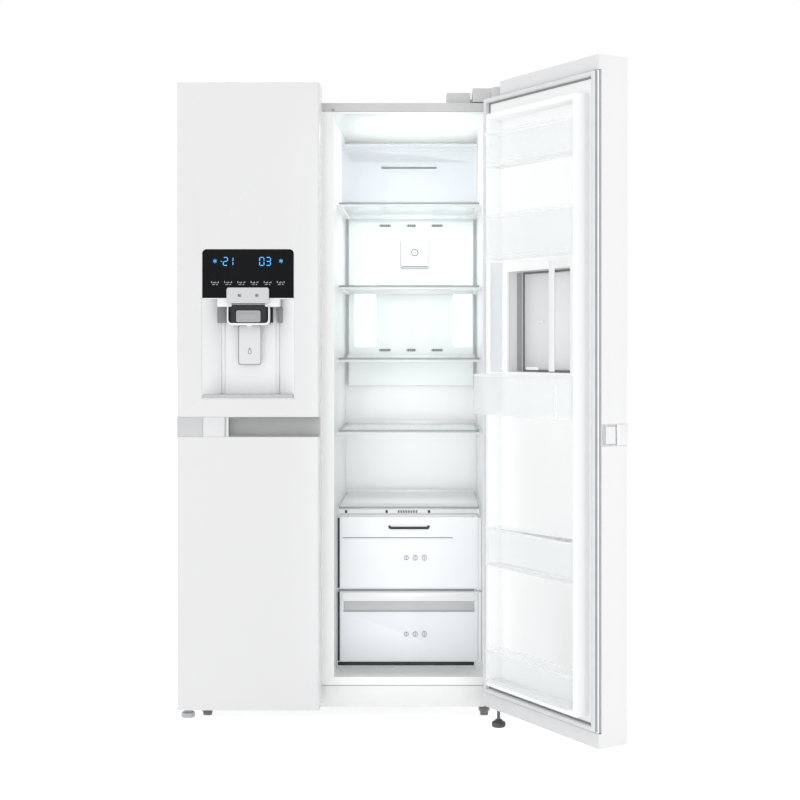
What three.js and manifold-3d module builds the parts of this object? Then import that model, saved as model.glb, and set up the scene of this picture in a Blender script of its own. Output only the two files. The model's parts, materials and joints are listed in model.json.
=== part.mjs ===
// Side by side refrigerator: a foamed cabinet with a freezer on the left and a fresh food
// compartment on the right, two full height doors on vertical pins, and a machine compartment
// low at the back. Millimetres. X runs to the right seen from the front, the front faces -Y, +Z is up.
// The freezer door is shut and the fridge door stands open. The home bar is a hatch in the fridge door.
import * as THREE from 'three';
import { mergeVertices } from 'three/addons/utils/BufferGeometryUtils.js';
import Module from 'manifold-3d';

const wasm = await Module();
wasm.setup();

// ---- overall sizes
const WIDTH = 912;
const DEPTH = 761; // door fronts to the back panel
const CASE_TOP = 1750; // top of the steel cabinet
const DOOR_OVER = 40; // how far the doors stand above it
const DOOR_BOTTOM = 60;
const SPLIT_X = -60; // middle of the gap between the doors, from the middle of the cabinet
const DOOR_GAP = 5;
const DOOR_OPEN = 122; // degrees that the fridge door stands open

// ---- clearances
const FIT = 0.3; // between pieces that touch
const RUN = 0.4; // round a pin or an axle

// ---- doors
const DOOR_CORE = 88; // foamed slab without the inner liner
const DOOR_PLATE = 9; // inner liner
const GASKET_DEEP = 13.4;
const GASKET_WIDE = 11;
const DOOR_EDGE_R = 9;
const CAP_HIGH = 38; // plastic caps at a door's top and bottom
const SEAL_ROOM = 14; // between a door's inner face and the cabinet
const DIKE_DEEP = 41; // how far the liner's raised wall stands into the compartment
const DIKE_WALL = 16;

// ---- cabinet
const SKIN = 1.2;
const LINER = 1.6;
const SIDE_WALL = 56; // insulated side, outside to the liner's face, freezer side
const FRIDGE_WALL = 64; // and fridge side
const MULLION = 60;
const ROOF = 28; // insulated top, outside to the liner's face
const FLANGE_BOTTOM = 103; // lower edge of the front frame
const FLOOR = 126; // of both compartments
const BACK_WALL = 78;
const STEP_RUN = 30; // the compartment floor slopes up over the machine compartment
const STEP_WALL = 35; // insulation over the machine compartment
const MACHINE_TOP = 285;
const MACHINE_DEEP = 223; // from the back of the cabinet
const SIDE_BOTTOM = 50;
const FRONT_RAIL = 54; // width of the steel front frame on each side
const HEM = 12; // edge of the case folded in behind
const TRIM_HIGH = 24;
const TRIM_OVER = 2; // the top trim stands above the case
const TRIM_DEEP = 23;
const TRIM_SHORT = 60; // in from each side of the cabinet

// ---- hinges, feet and rollers
const PIN_IN = 22; // pin axis in from the door's outer side
const PIN_Y = 58; // and behind the door's front
const PIN_R = 6;
const LOW_PIN_R = 8;
const ARM_HALF = 9;
const ARM_THICK = 5;
const ARM_R = 18;
const COVER_HALF = 11;
const COVER_R = 20;
const COVER_HIGH = 35; // hinge cover above the case
const COVER_RISE = 10; // the cover's back part stands above its nose
const COVER_WALL = 3;
const NOTCH_LONG = 84; // recess in the door's top for the arm
const NOTCH_FRONT = 28;
const LEG_R = 5;
const FOOT_R = 19;
const FOOT_HIGH = 14;
const LEG_TRAVEL = 27;
const LOW_PLATE = 50;
const WHEEL_R = 24;
const WHEEL_WIDE = 22;
const WHEEL_IN = 58; // a roller's middle in from the cabinet's side
const WHEEL_BACK = 70; // a front roller's axle behind the cabinet's front
const WHEEL_OFF_BACK = 48; // a rear roller's axle from the cabinet's back
const AXLE_R = 4;

// ---- fresh food compartment
const SHELF_TOPS = [1480, 1239, 1028, 818];
const SHELF_INSET = 107; // a shelf's front edge behind the cabinet's front
const SHELF_OFF_DUCT = 7;
const SHELF_SIDE = 6;
const SHELF_GLASS = 4;
const SHELF_LIP = 16;
const EDGE_DEEP = 12; // a shelf's front edge, front to back
const COVER_Z = 595;
const RAIL_OUT = 14; // a shelf's rail stands out from the wall
const RAIL_HIGH = 7;
const DRAWER_SIDE = 10;
const DRAWER_WALL = 3;
const DRAWER_FRONT = 8;
const DRAWER_SHORT = 28; // a drawer's back in front of a shelf's back
const DUCT_LOW = 936;
const DUCT_GAP = 22; // over the duct
const DUCT_DEEP = 25;

// ---- door grips, the band that runs across both doors
const GRIP_LOW = 813;
const GRIP_TOP = 868;
const GRIP_DEEP = 38;
const GRIP_SOLID = 143; // the part of the band without a finger pocket
const GRIP_WALL = 3.5;

// ---- dispenser
const DISP_HALF = 126;
const DISP_BACK_HALF = 80;
const DISP_DEEP = 60;
const DISP_LOW = 918;
const DISP_SPLIT = 1196; // display above, recess below
const DISP_TOP = 1330;
const DISP_WALL = 2.5;
const PANEL_THICK = 8;
const PANEL_CORNER = 12;

// ---- home bar in the fridge door
const BAR_HALF = 139; // opening
const BAR_LOW = 994;
const BAR_TOP = 1265;
const BAR_LAP = 15; // how far the hatch laps over the opening
const BAR_PANEL = 25;
const BAR_PLUG = 16; // the hatch's plug behind its panel
const BAR_CASE_DEEP = 94;
const BAR_CASE_LOW = 880;
const BAR_CASE_TOP = 1290;
const BASKET_DEEP = 56;
const BASKETS = [[1548, 1640], [1297, 1418], [470, 572], [153, 240]];

// ---- derived
const HALF = WIDTH / 2;
const DOOR_TOP = CASE_TOP + DOOR_OVER;
const DOOR_BACK = DOOR_CORE + DOOR_PLATE;
const CASE_FRONT = DOOR_BACK + SEAL_ROOM;
const CEILING = CASE_TOP - ROOF;
const INSIDE_BACK = DEPTH - BACK_WALL;
const MACHINE_FRONT = DEPTH - MACHINE_DEEP;
const STEP_Y = MACHINE_FRONT - STEP_RUN * 1.5;
const STEP_TOP = MACHINE_TOP + STEP_WALL;
const TRIM_TOP = CASE_TOP + TRIM_OVER;
const TRIM_LOW = TRIM_TOP - TRIM_HIGH;
const TRIM_HALF = HALF - TRIM_SHORT;
const COVER_TOP = CASE_TOP + COVER_HIGH;
const NOTCH_BOTTOM = CASE_TOP - 3;
const DUCT_TOP = CEILING - DUCT_GAP;
const WHEEL_X = HALF - WHEEL_IN;
const WHEEL_FRONT_Y = CASE_FRONT + WHEEL_BACK;
const WHEEL_REAR_Y = DEPTH - WHEEL_OFF_BACK;
const FREEZER_EDGE = SPLIT_X - DOOR_GAP / 2;
const FRIDGE_EDGE = SPLIT_X + DOOR_GAP / 2;
const FREEZER_IN = [-HALF + SIDE_WALL, SPLIT_X - MULLION / 2];
const FRIDGE_IN = [SPLIT_X + MULLION / 2, HALF - FRIDGE_WALL];
const PIN_X = HALF - PIN_IN;
const BAR_X = (FRIDGE_EDGE + HALF) / 2;
const DISP_X = (FREEZER_EDGE - HALF) / 2;
const DUCT_FRONT = INSIDE_BACK - FIT - DUCT_DEEP;
const SHELF_FRONT = CASE_FRONT + SHELF_INSET;
const SHELF_BACK = DUCT_FRONT - SHELF_OFF_DUCT;
const DRAWER_BACK = SHELF_BACK - DRAWER_SHORT;

const LOOKS = {
  white: [0xeceeee, 0.35, 0],
  doorWhite: [0xe4e6e8, 0.3, 0.1],
  liner: [0xf6f7f6, 0.4, 0],
  grey: [0xb9bcbd, 0.45, 0],
  darkGrey: [0x9a9c9d, 0.5, 0],
  nozzle: [0x56595b, 0.45, 0],
  black: [0x16181a, 0.15, 0],
  rubber: [0x2a2b2c, 0.8, 0],
  gasket: [0xd9dadb, 0.7, 0],
  steel: [0xaeb2b5, 0.35, 0.9],
  cast: [0x1d1f21, 0.5, 0.4],
  foam: [0xe8ddb0, 0.9, 0],
  clear: [0xe6f0f4, 0.15, 0],
  lamp: [0xffffff, 0.3, 0],
};

const root = new THREE.Group();
const freezerDoor = new THREE.Group();
const fridgeHinge = new THREE.Group();
const fridgeDoor = new THREE.Group();
root.add(freezerDoor, fridgeHinge);
fridgeHinge.add(fridgeDoor);
fridgeHinge.position.set(PIN_X, PIN_Y, 0);
fridgeHinge.rotation.z = THREE.MathUtils.degToRad(DOOR_OPEN);
fridgeDoor.position.set(-PIN_X, -PIN_Y, 0);

// ---- solid helpers
function solid(geometry) {
  const bare = geometry.index ? geometry : geometry.clone();
  for (const name of Object.keys(bare.attributes)) {
    if (name !== 'position') bare.deleteAttribute(name);
  }
  const merged = mergeVertices(bare, 1e-4);
  return new wasm.Manifold(new wasm.Mesh({
    numProp: 3,
    vertProperties: new Float32Array(merged.attributes.position.array),
    triVerts: new Uint32Array(merged.index.array),
  }));
}

function box(x, y, z) {
  const geometry = new THREE.BoxGeometry(x[1] - x[0], y[1] - y[0], z[1] - z[0]);
  geometry.translate((x[0] + x[1]) / 2, (y[0] + y[1]) / 2, (z[0] + z[1]) / 2);
  return solid(geometry);
}

// an outline in X and Y raised along Z
function raise(shape, z, curveSegments = 5) {
  const depth = z[1] - z[0];
  const geometry = new THREE.ExtrudeGeometry(shape, { depth, bevelEnabled: false, curveSegments });
  geometry.translate(0, 0, z[0]);
  return solid(geometry);
}

// an outline in X and Z pushed back along Y
function push(shape, y, curveSegments = 5) {
  const depth = y[1] - y[0];
  const geometry = new THREE.ExtrudeGeometry(shape, { depth, bevelEnabled: false, curveSegments });
  geometry.rotateX(Math.PI / 2);
  geometry.translate(0, y[1], 0);
  return solid(geometry);
}

// an outline in Y and Z drawn out along X
function draw(shape, x) {
  const geometry = new THREE.ExtrudeGeometry(shape, { depth: x[1] - x[0], bevelEnabled: false });
  geometry.rotateZ(Math.PI / 2);
  geometry.rotateY(Math.PI / 2);
  geometry.translate(x[0], 0, 0);
  return solid(geometry);
}

function polygon(points) {
  return new THREE.Shape(points.map(([a, b]) => new THREE.Vector2(a, b)));
}

function roundRect(x, y, r) {
  const shape = new THREE.Shape();
  shape.moveTo(x[0] + r, y[0]);
  shape.lineTo(x[1] - r, y[0]);
  shape.absarc(x[1] - r, y[0] + r, r, -Math.PI / 2, 0);
  shape.lineTo(x[1], y[1] - r);
  shape.absarc(x[1] - r, y[1] - r, r, 0, Math.PI / 2);
  shape.lineTo(x[0] + r, y[1]);
  shape.absarc(x[0] + r, y[1] - r, r, Math.PI / 2, Math.PI);
  shape.lineTo(x[0], y[0] + r);
  shape.absarc(x[0] + r, y[0] + r, r, Math.PI, Math.PI * 1.5);
  return shape;
}

function rod(x, y, z, r, sides = 20) {
  const geometry = new THREE.CylinderGeometry(r, r, z[1] - z[0], sides);
  geometry.rotateX(Math.PI / 2);
  geometry.translate(x, y, (z[0] + z[1]) / 2);
  return solid(geometry);
}

function rodX(x, y, z, r, sides = 20) {
  const geometry = new THREE.CylinderGeometry(r, r, x[1] - x[0], sides);
  geometry.rotateZ(Math.PI / 2);
  geometry.translate((x[0] + x[1]) / 2, y, z);
  return solid(geometry);
}

function rodY(x, y, z, r, sides = 20) {
  const geometry = new THREE.CylinderGeometry(r, r, y[1] - y[0], sides);
  geometry.translate(x, (y[0] + y[1]) / 2, z);
  return solid(geometry);
}

// a profile of [radius, height] turned about a vertical axis
function turned(profile, x, y, sides = 24) {
  const points = profile.map(([r, z]) => new THREE.Vector2(r, z));
  const geometry = new THREE.LatheGeometry(points, sides);
  geometry.rotateX(Math.PI / 2);
  geometry.translate(x, y, 0);
  return solid(geometry);
}

function grown([low, high], by) {
  return [low - by, high + by];
}

function mirrored(x) {
  return [-x[1], -x[0]];
}

// left is -1 and right is 1
function sideOf(side, x) {
  return side > 0 ? x : mirrored(x);
}

function add(name, piece, look, group = root) {
  const { vertProperties, triVerts } = piece.getMesh();
  const geometry = new THREE.BufferGeometry();
  geometry.setAttribute('position', new THREE.BufferAttribute(new Float32Array(vertProperties), 3));
  geometry.setIndex(new THREE.BufferAttribute(new Uint32Array(triVerts), 1));
  geometry.computeVertexNormals();
  const [color, roughness, metalness] = LOOKS[look];
  const mesh = new THREE.Mesh(geometry, new THREE.MeshStandardMaterial({ color, roughness, metalness }));
  mesh.name = name;
  group.add(mesh);
}

// ---- cabinet
const PANEL_Y = [DEPTH - SKIN, DEPTH];
const HEM_Y = [PANEL_Y[0] - FIT - SKIN, PANEL_Y[0] - FIT];
const FOAM_BACK = HEM_Y[0] - FIT;
const FLANGE_Y = [CASE_FRONT + SKIN + FIT, CASE_FRONT + SKIN + FIT + 2];
const TRIM_Y = [CASE_FRONT, CASE_FRONT + TRIM_DEEP];

function cabinetShell() {
  const across = [-HALF, HALF];
  const inner = [-HALF + SKIN, HALF - SKIN];
  const hollow = box(inner, [CASE_FRONT - 1, DEPTH + 1], [SIDE_BOTTOM - 1, CASE_TOP - SKIN]);
  let shell = box(across, [CASE_FRONT, HEM_Y[1]], [SIDE_BOTTOM, CASE_TOP]).subtract(hollow);
  for (const side of [-1, 1]) {
    const frame = sideOf(side, [HALF - FRONT_RAIL, HALF]);
    shell = shell.add(box(frame, [CASE_FRONT, CASE_FRONT + SKIN], [FLANGE_BOTTOM - 1, CASE_TOP]));
    const hem = sideOf(side, [HALF - HEM, HALF]);
    shell = shell.add(box(hem, HEM_Y, [SIDE_BOTTOM + HEM, CASE_TOP]));
  }
  shell = shell.add(box(across, HEM_Y, [CASE_TOP - HEM, CASE_TOP]));
  const trimRoom = box([-TRIM_HALF - FIT, TRIM_HALF + FIT], grown(TRIM_Y, FIT), [TRIM_LOW - FIT, TRIM_TOP]);
  return shell.subtract(trimRoom);
}

function topTrim() {
  const bar = box([-TRIM_HALF, TRIM_HALF], TRIM_Y, [TRIM_LOW, TRIM_TOP]);
  return bar.subtract(rodY(SWITCH_X, [TRIM_Y[0] - 1, TRIM_Y[0] + SWITCH_DEEP], SWITCH_Z, SWITCH_R + RUN, 16));
}

// the compartment's outline in Y and Z, grown outwards for the liner and for the foam round it
function compartment(by) {
  return polygon([
    [CASE_FRONT - 10, FLOOR - by],
    [STEP_Y + by * 0.6, FLOOR - by],
    [STEP_Y + STEP_RUN + by * 0.9, STEP_TOP - by],
    [INSIDE_BACK + by, STEP_TOP - by],
    [INSIDE_BACK + by, CEILING + by],
    [CASE_FRONT - 10, CEILING + by],
  ]);
}

function insulation() {
  const inner = HALF - SKIN - FIT;
  const outline = polygon([
    [FLANGE_Y[1] + FIT, FLANGE_BOTTOM],
    [MACHINE_FRONT, FLANGE_BOTTOM],
    [MACHINE_FRONT, MACHINE_TOP],
    [FOAM_BACK, MACHINE_TOP],
    [FOAM_BACK, CASE_TOP - SKIN - FIT],
    [FLANGE_Y[1] + FIT, CASE_TOP - SKIN - FIT],
  ]);
  let foam = draw(outline, [-inner, inner]);
  for (const room of [FREEZER_IN, FRIDGE_IN]) {
    foam = foam.subtract(draw(compartment(LINER + FIT), grown(room, LINER + FIT)));
  }
  const trimRoom = box([-TRIM_HALF - FIT, TRIM_HALF + FIT], grown(TRIM_Y, FIT), [TRIM_LOW - FIT, CASE_TOP]);
  return foam.subtract(trimRoom);
}

// one rail on each side wall under a shelf or a drawer
function rails(room, z, y, out = RAIL_OUT) {
  const left = box([room[0] - LINER / 2, room[0] + out], y, z);
  const right = box([room[1] - out, room[1] + LINER / 2], y, z);
  return left.add(right);
}

function railUnder(z) {
  return [z - FIT - RAIL_HIGH, z - FIT];
}

function liner(room, flange) {
  const shell = draw(compartment(LINER), grown(room, LINER));
  const face = box(flange, FLANGE_Y, [FLANGE_BOTTOM, TRIM_LOW - FIT]);
  const front = box([-WIDTH, WIDTH], [CASE_FRONT - 11, FLANGE_Y[0]], [0, DOOR_TOP]);
  return shell.subtract(front).add(face).subtract(draw(compartment(0), room));
}

function fridgeLiner() {
  let body = liner(FRIDGE_IN, [SPLIT_X + FIT / 2, HALF - SKIN - FIT]);
  const long = [SHELF_FRONT + EDGE_DEEP + 2, DRAWER_BACK];
  for (const top of [...SHELF_TOPS, COVER_Z]) {
    body = body.add(rails(FRIDGE_IN, railUnder(top - SHELF_GLASS), long));
  }
  body = body.add(rails(FRIDGE_IN, railUnder(UPPER_DRAWER[0]), long));
  const low = [long[0], LOW_DRAWER_BACK - 5];
  return body.add(rails(FRIDGE_IN, [FLOOR - LINER / 2, LOWER_DRAWER[0] - FIT], low, RAIL_OUT + 2));
}

function freezerLiner() {
  let body = liner(FREEZER_IN, [-HALF + SKIN + FIT, SPLIT_X - FIT / 2]);
  const long = [SHELF_FRONT + EDGE_DEEP + 2, DRAWER_BACK];
  for (const z of [ICE_BIN[0], FREEZER_SHELF - SHELF_GLASS]) {
    body = body.add(rails(FREEZER_IN, railUnder(z), long));
  }
  const low = [long[0], LOW_DRAWER_BACK - 5];
  return body.add(rails(FREEZER_IN, [FLOOR - LINER / 2, LOWER_DRAWER[0] - FIT], low, RAIL_OUT + 2));
}

// steel face between the compartments and below them, which the gaskets pull against
function frontRail() {
  const y = [CASE_FRONT, CASE_FRONT + SKIN];
  const middle = [SPLIT_X - MULLION / 2 + 2, SPLIT_X + MULLION / 2 - 2];
  const low = box(grown([-HALF + FRONT_RAIL, HALF - FRONT_RAIL], -FIT), y, [FLANGE_BOTTOM, FLOOR - FIT]);
  return box(middle, y, [FLANGE_BOTTOM, TRIM_LOW - FIT]).add(low);
}

function backPanel() {
  return box([-HALF + 2, HALF - 2], PANEL_Y, [MACHINE_TOP + 3, CASE_TOP - 2]);
}

const VENT_ROWS = 6;
const VENT_PITCH = 26;
const VENT_HALF = 90;
const VENT_HIGH = 9;

function machineCover() {
  let cover = box([-HALF + 2, HALF - 2], PANEL_Y, [SIDE_BOTTOM + HEM, MACHINE_TOP]);
  for (const centre of [-HALF * 0.55, HALF * 0.55]) {
    for (let row = 0; row < VENT_ROWS; row += 1) {
      const z = FLANGE_BOTTOM + 7 + row * VENT_PITCH;
      const slot = box([centre - VENT_HALF, centre + VENT_HALF], grown(PANEL_Y, 1), [z, z + VENT_HIGH]);
      cover = cover.subtract(slot);
    }
  }
  return cover;
}

function baseGrille() {
  const half = GRILLE_HALF;
  const front = [CASE_FRONT + 3, CASE_FRONT + 6];
  let grille = box([-half, half], front, [GRILLE_LOW, FLANGE_BOTTOM - 2]);
  for (const side of [-1, 1]) {
    const cheek = sideOf(side, [half - 3, half]);
    grille = grille.add(box(cheek, [front[0], TRAY_FRONT - FIT], [GRILLE_LOW, FLANGE_BOTTOM - 4]));
  }
  return grille;
}

const GRILLE_HALF = HALF - 60;
const GRILLE_LOW = 41;
const TRAY_FRONT = CASE_FRONT + 12;
const TRAY_Z = [56, 58];
const FAN_X = 60;
const FAN_Y = DEPTH - 110;
const FAN_Z = 165;
const FAN_R = 64;
const MOTOR_R = 20;
const EAR_GAP = 1.5; // between a roller and its ears
const EAR_THICK = 3;
const EAR_HALF = 14;

// steel tray under the cabinet: it carries the compressor, the fan and the four rollers
function baseTray() {
  const half = HALF - SKIN - FIT;
  let tray = box([-half, half], [TRAY_FRONT, FOAM_BACK], TRAY_Z);
  tray = tray.add(box([-half, half], [TRAY_FRONT, TRAY_FRONT + 2], [TRAY_Z[0], FLANGE_BOTTOM - 2]));
  for (const x of [-WHEEL_X, WHEEL_X]) {
    for (const y of [WHEEL_FRONT_Y, WHEEL_REAR_Y]) {
      for (const side of [-1, 1]) {
        const near = WHEEL_WIDE / 2 + EAR_GAP;
        const ear = sideOf(side, [near, near + EAR_THICK]).map((offset) => x + offset);
        tray = tray.add(box(ear, [y - EAR_HALF, y + EAR_HALF], [WHEEL_R - 9, TRAY_Z[0] + 1]));
      }
      tray = tray.subtract(rodX(grown([x, x], WHEEL_WIDE), y, WHEEL_R, AXLE_R + RUN, 12));
    }
  }
  return tray.add(fanStand());
}

// the fan's plate with its round opening, and the motor on a bar across it
function fanStand() {
  const plate = [FAN_X + 10, FAN_X + 12];
  const reach = FAN_R + 10;
  let stand = box(plate, [MACHINE_FRONT + 8, FOAM_BACK - 4], [TRAY_Z[1] - 1, MACHINE_TOP - 8]);
  stand = stand.subtract(rodX(grown(plate, 1), FAN_Y, FAN_Z, FAN_R + 6, 28));
  stand = stand.add(box(plate, grown([FAN_Y, FAN_Y], 6), grown([FAN_Z, FAN_Z], reach)));
  return stand.add(rodX([FAN_X + 8, FAN_X + 40], FAN_Y, FAN_Z, MOTOR_R, 20));
}

const HUB_R = 15;
const BLADES = 5;
const BLADE_THICK = 2.4;
const BLADE_PITCH = 0.55; // radians from the fan's plane

function condenserFan() {
  let fan = rodX([FAN_X - 12, FAN_X + 7], FAN_Y, FAN_Z, HUB_R, 20);
  const long = FAN_R - HUB_R + 5;
  for (let i = 0; i < BLADES; i += 1) {
    const geometry = new THREE.BoxGeometry(BLADE_THICK, 40, long);
    geometry.rotateZ(BLADE_PITCH);
    geometry.translate(0, 0, long / 2 + HUB_R - 5);
    geometry.rotateX((i * 2 * Math.PI) / BLADES);
    geometry.translate(FAN_X - 3, FAN_Y, FAN_Z);
    fan = fan.add(solid(geometry));
  }
  return fan.intersect(rodX([FAN_X - 14, FAN_X + 7], FAN_Y, FAN_Z, FAN_R, 32));
}

const PUMP_X = 250;
const PUMP_Y = FAN_Y;
const PUMP_SHELL = [[0, 12], [62, 12], [76, 30], [78, 80], [70, 120], [50, 146], [0, 156]]; // radius, height
const PUMP_PLATE = [95, 50]; // half width and half depth of its foot plate
const MOUNT_R = 10;

// the sealed compressor on four rubber mounts, with its terminal box on one side
function compressor() {
  const base = TRAY_Z[1] + FIT;
  const [across, deep] = PUMP_PLATE;
  let pump = turned(PUMP_SHELL.map(([r, z]) => [r, base + z]), PUMP_X, PUMP_Y, 24);
  const plate = [grown([PUMP_X, PUMP_X], across), grown([PUMP_Y, PUMP_Y], deep)];
  pump = pump.add(box(...plate, [base + 10, base + 14]));
  for (const x of grown([PUMP_X, PUMP_X], across - MOUNT_R - 3)) {
    for (const y of grown([PUMP_Y, PUMP_Y], deep - MOUNT_R - 2)) {
      pump = pump.add(rod(x, y, [base, base + 12], MOUNT_R, 12));
    }
  }
  return pump.add(box([PUMP_X - 110, PUMP_X - 60], grown([PUMP_Y, PUMP_Y], 24), [base + 50, base + 104]));
}

// ---- hinges, legs, rollers
const LOW_PIN_TOP = LOW_PLATE + 34;
const TOP_PIN_LONG = 34;
const BORE_END = 2; // room past the end of a pin

function armShape(half, radius, x, y) {
  const shape = new THREE.Shape();
  const start = Math.asin(half / radius);
  shape.moveTo(x[0], y[0]);
  shape.lineTo(x[0], y[1]);
  shape.lineTo(x[1], y[1]);
  shape.lineTo(x[1], y[0]);
  shape.lineTo(PIN_X + half, y[0]);
  shape.absarc(PIN_X, PIN_Y, radius, Math.PI / 2 - start, -1.5 * Math.PI + start, true);
  shape.lineTo(PIN_X - half, y[0]);
  return shape;
}

const PLATE_X = [TRIM_HALF + 2, HALF - 6];
const PLATE_Y = [CASE_FRONT + 12, CASE_FRONT + 97];
const ARM_Z = [CASE_TOP + FIT, CASE_TOP + FIT + ARM_THICK];

function flip(piece, side) {
  return side > 0 ? piece : piece.mirror([1, 0, 0]);
}

function topHinge(side) {
  const plate = raise(armShape(ARM_HALF, ARM_R, PLATE_X, PLATE_Y), ARM_Z, 6);
  const pin = rod(PIN_X, PIN_Y, [ARM_Z[0] - TOP_PIN_LONG, ARM_Z[0] + 1], PIN_R, 16);
  return flip(plate.add(pin), side);
}

const COVER_X = [HALF - 93, HALF - 2];
const COVER_Y = [CASE_FRONT + 7, CASE_FRONT + 107];
const HARNESS_X = [HALF - 167, HALF - 99]; // housing of the door's wiring plug, beside the hinge
const HARNESS_Y = [TRIM_Y[1] + 1, CASE_FRONT + 92];

// one moulding covers the hinge arm and the wiring plug
function hingeCover(side) {
  const z = [ARM_Z[1] + FIT, COVER_TOP];
  const room = [z[0] - 1, COVER_TOP - COVER_WALL];
  let cover = raise(armShape(COVER_HALF, COVER_R, COVER_X, COVER_Y), z, 6);
  cover = cover.add(box(COVER_X, COVER_Y, [COVER_TOP - 1, COVER_TOP + COVER_RISE]));
  const hollowTop = room[1] + COVER_RISE;
  cover = cover.subtract(box(grown(COVER_X, -COVER_WALL), grown(COVER_Y, -COVER_WALL), [room[0], hollowTop]));
  const bridge = [HARNESS_X[1] - COVER_WALL, COVER_X[0] + COVER_WALL];
  cover = cover.add(box(bridge, [TRIM_Y[1] + 9, TRIM_Y[1] + 21], [z[0], z[0] + 12]));
  const block = box(HARNESS_X, HARNESS_Y, [CASE_TOP + FIT, COVER_TOP]);
  const hollow = box(grown(HARNESS_X, -COVER_WALL), grown(HARNESS_Y, -COVER_WALL), [CASE_TOP, room[1]]);
  return flip(cover.add(block.subtract(hollow)), side);
}

function bottomHinge(side) {
  const x = [HALF - 52, HALF - 4];
  const arm = armShape(ARM_HALF, ARM_R, x, [CASE_FRONT + 2, CASE_FRONT + 10]);
  const plate = raise(arm, [LOW_PLATE, LOW_PLATE + 4], 6);
  const upright = box(x, [CASE_FRONT + 6, CASE_FRONT + 10], [LOW_PLATE, FLANGE_BOTTOM - 4]);
  const pin = rod(PIN_X, PIN_Y, [LOW_PLATE + 2, LOW_PIN_TOP], LOW_PIN_R, 20);
  const bore = rod(PIN_X, PIN_Y, [LOW_PLATE - 1, LOW_PLATE + 40], LEG_R + RUN, 16);
  return flip(plate.add(upright).add(pin).subtract(bore), side);
}

function leg(side, lift) {
  const top = LOW_PLATE + 3;
  const nut = FOOT_HIGH + 7;
  const profile = [[0, 0], [FOOT_R, 0], [FOOT_R, FOOT_HIGH - 2], [FOOT_R - 3, FOOT_HIGH],
    [12, FOOT_HIGH + 1], [10, nut], [LEG_R, nut], [LEG_R, top], [0, top]];
  const raised = profile.map(([r, z]) => [r, z + lift]);
  return turned(raised, side * PIN_X, PIN_Y, 20);
}

function roller(x, y) {
  const wheel = rodX([x - WHEEL_WIDE / 2, x + WHEEL_WIDE / 2], y, WHEEL_R, WHEEL_R, 32);
  const reach = WHEEL_WIDE / 2 + EAR_GAP + EAR_THICK + 1.5;
  return wheel.add(rodX([x - reach, x + reach], y, WHEEL_R, AXLE_R, 12));
}

// ---- fresh food compartment

const UPPER_DRAWER = [358, 566];
const LOWER_DRAWER = [146, 350];
const LOW_DRAWER_BACK = STEP_Y - 15;
const CHILL = [SHELF_TOPS[0] + 3, SHELF_TOPS[0] + 170];
const SLOT_HALF = 61; // a crisper's finger slot
const CHILL_SLOT_HALF = 80;
const LIP = 1.5; // a shelf's edges stand above the glass
const DRAWER_X = grown(FRIDGE_IN, -DRAWER_SIDE);
const SHELF_X = grown(FRIDGE_IN, -SHELF_SIDE);
const COOL_X = (FRIDGE_IN[0] + FRIDGE_IN[1]) / 2;

function shelf(x, top, lip = SHELF_LIP) {
  const glass = box(x, [SHELF_FRONT + 4, SHELF_BACK], [top - SHELF_GLASS, top]);
  const round = roundRect([SHELF_FRONT, SHELF_FRONT + EDGE_DEEP], [top - lip, top + LIP], 3);
  const edge = draw(round, x);
  const back = box(x, [SHELF_BACK - 6, SHELF_BACK], [top - 1, top + 8]);
  return glass.add(edge).add(back);
}

function tub(x, y, z, wall = DRAWER_WALL) {
  const inside = [[x[0] + wall, x[1] - wall], [y[0] + DRAWER_FRONT, y[1] - wall], [z[0] + wall, z[1] + 1]];
  return box(x, y, z).subtract(box(...inside));
}

function chillDrawer() {
  const y = [SHELF_FRONT + 5, DRAWER_BACK];
  const drawer = tub(grown(DRAWER_X, -4), y, CHILL);
  const middle = (CHILL[0] + CHILL[1]) / 2 + 16.5;
  const slot = box(grown([COOL_X, COOL_X], CHILL_SLOT_HALF), [y[0] - 1, y[0] + DRAWER_FRONT + 1],
    grown([middle, middle], 6));
  return drawer.subtract(slot);
}

function upperCrisper() {
  const y = [SHELF_FRONT - 3, DRAWER_BACK];
  const drawer = tub(DRAWER_X, y, UPPER_DRAWER);
  const slot = roundRect(grown([COOL_X, COOL_X], SLOT_HALF), [UPPER_DRAWER[1] - 35, UPPER_DRAWER[1] - 24], 5);
  return drawer.subtract(push(slot, [y[0] - 1, y[0] + DRAWER_FRONT + 1]));
}

const PULL_DEEP = 10; // hollow along the lower crisper's front, for the fingers

function lowerCrisper() {
  const y = [SHELF_FRONT - 3, LOW_DRAWER_BACK];
  const [low, high] = LOWER_DRAWER;
  const inside = box(grown(DRAWER_X, -DRAWER_WALL), [y[0] + PULL_DEEP + 4, y[1] - DRAWER_WALL],
    [low + DRAWER_WALL, high + 1]);
  const pull = box(grown(DRAWER_X, -12), [y[0] - 1, y[0] + PULL_DEEP], [high - 56, high - 28]);
  return box(DRAWER_X, y, LOWER_DRAWER).subtract(inside).subtract(pull);
}

const AIR_ROWS = [1491, 1451, 1050]; // heights of the duct's slots
const AIR_SLOTS = [[-84, 18], [0, 14], [84, 18]]; // from the middle, half length
const AIR_HALF = 4;
const AIR_DEEP = 9;

function airDuct() {
  const y = [DUCT_FRONT, INSIDE_BACK - FIT];
  let duct = box(grown(FRIDGE_IN, -10), y, [DUCT_LOW, DUCT_TOP]);
  for (const z of AIR_ROWS) {
    for (const [offset, half] of AIR_SLOTS) {
      const x = grown([COOL_X + offset, COOL_X + offset], half);
      duct = duct.subtract(box(x, [y[0] - 1, y[0] + AIR_DEEP], grown([z, z], AIR_HALF)));
    }
  }
  return duct;
}

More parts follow.
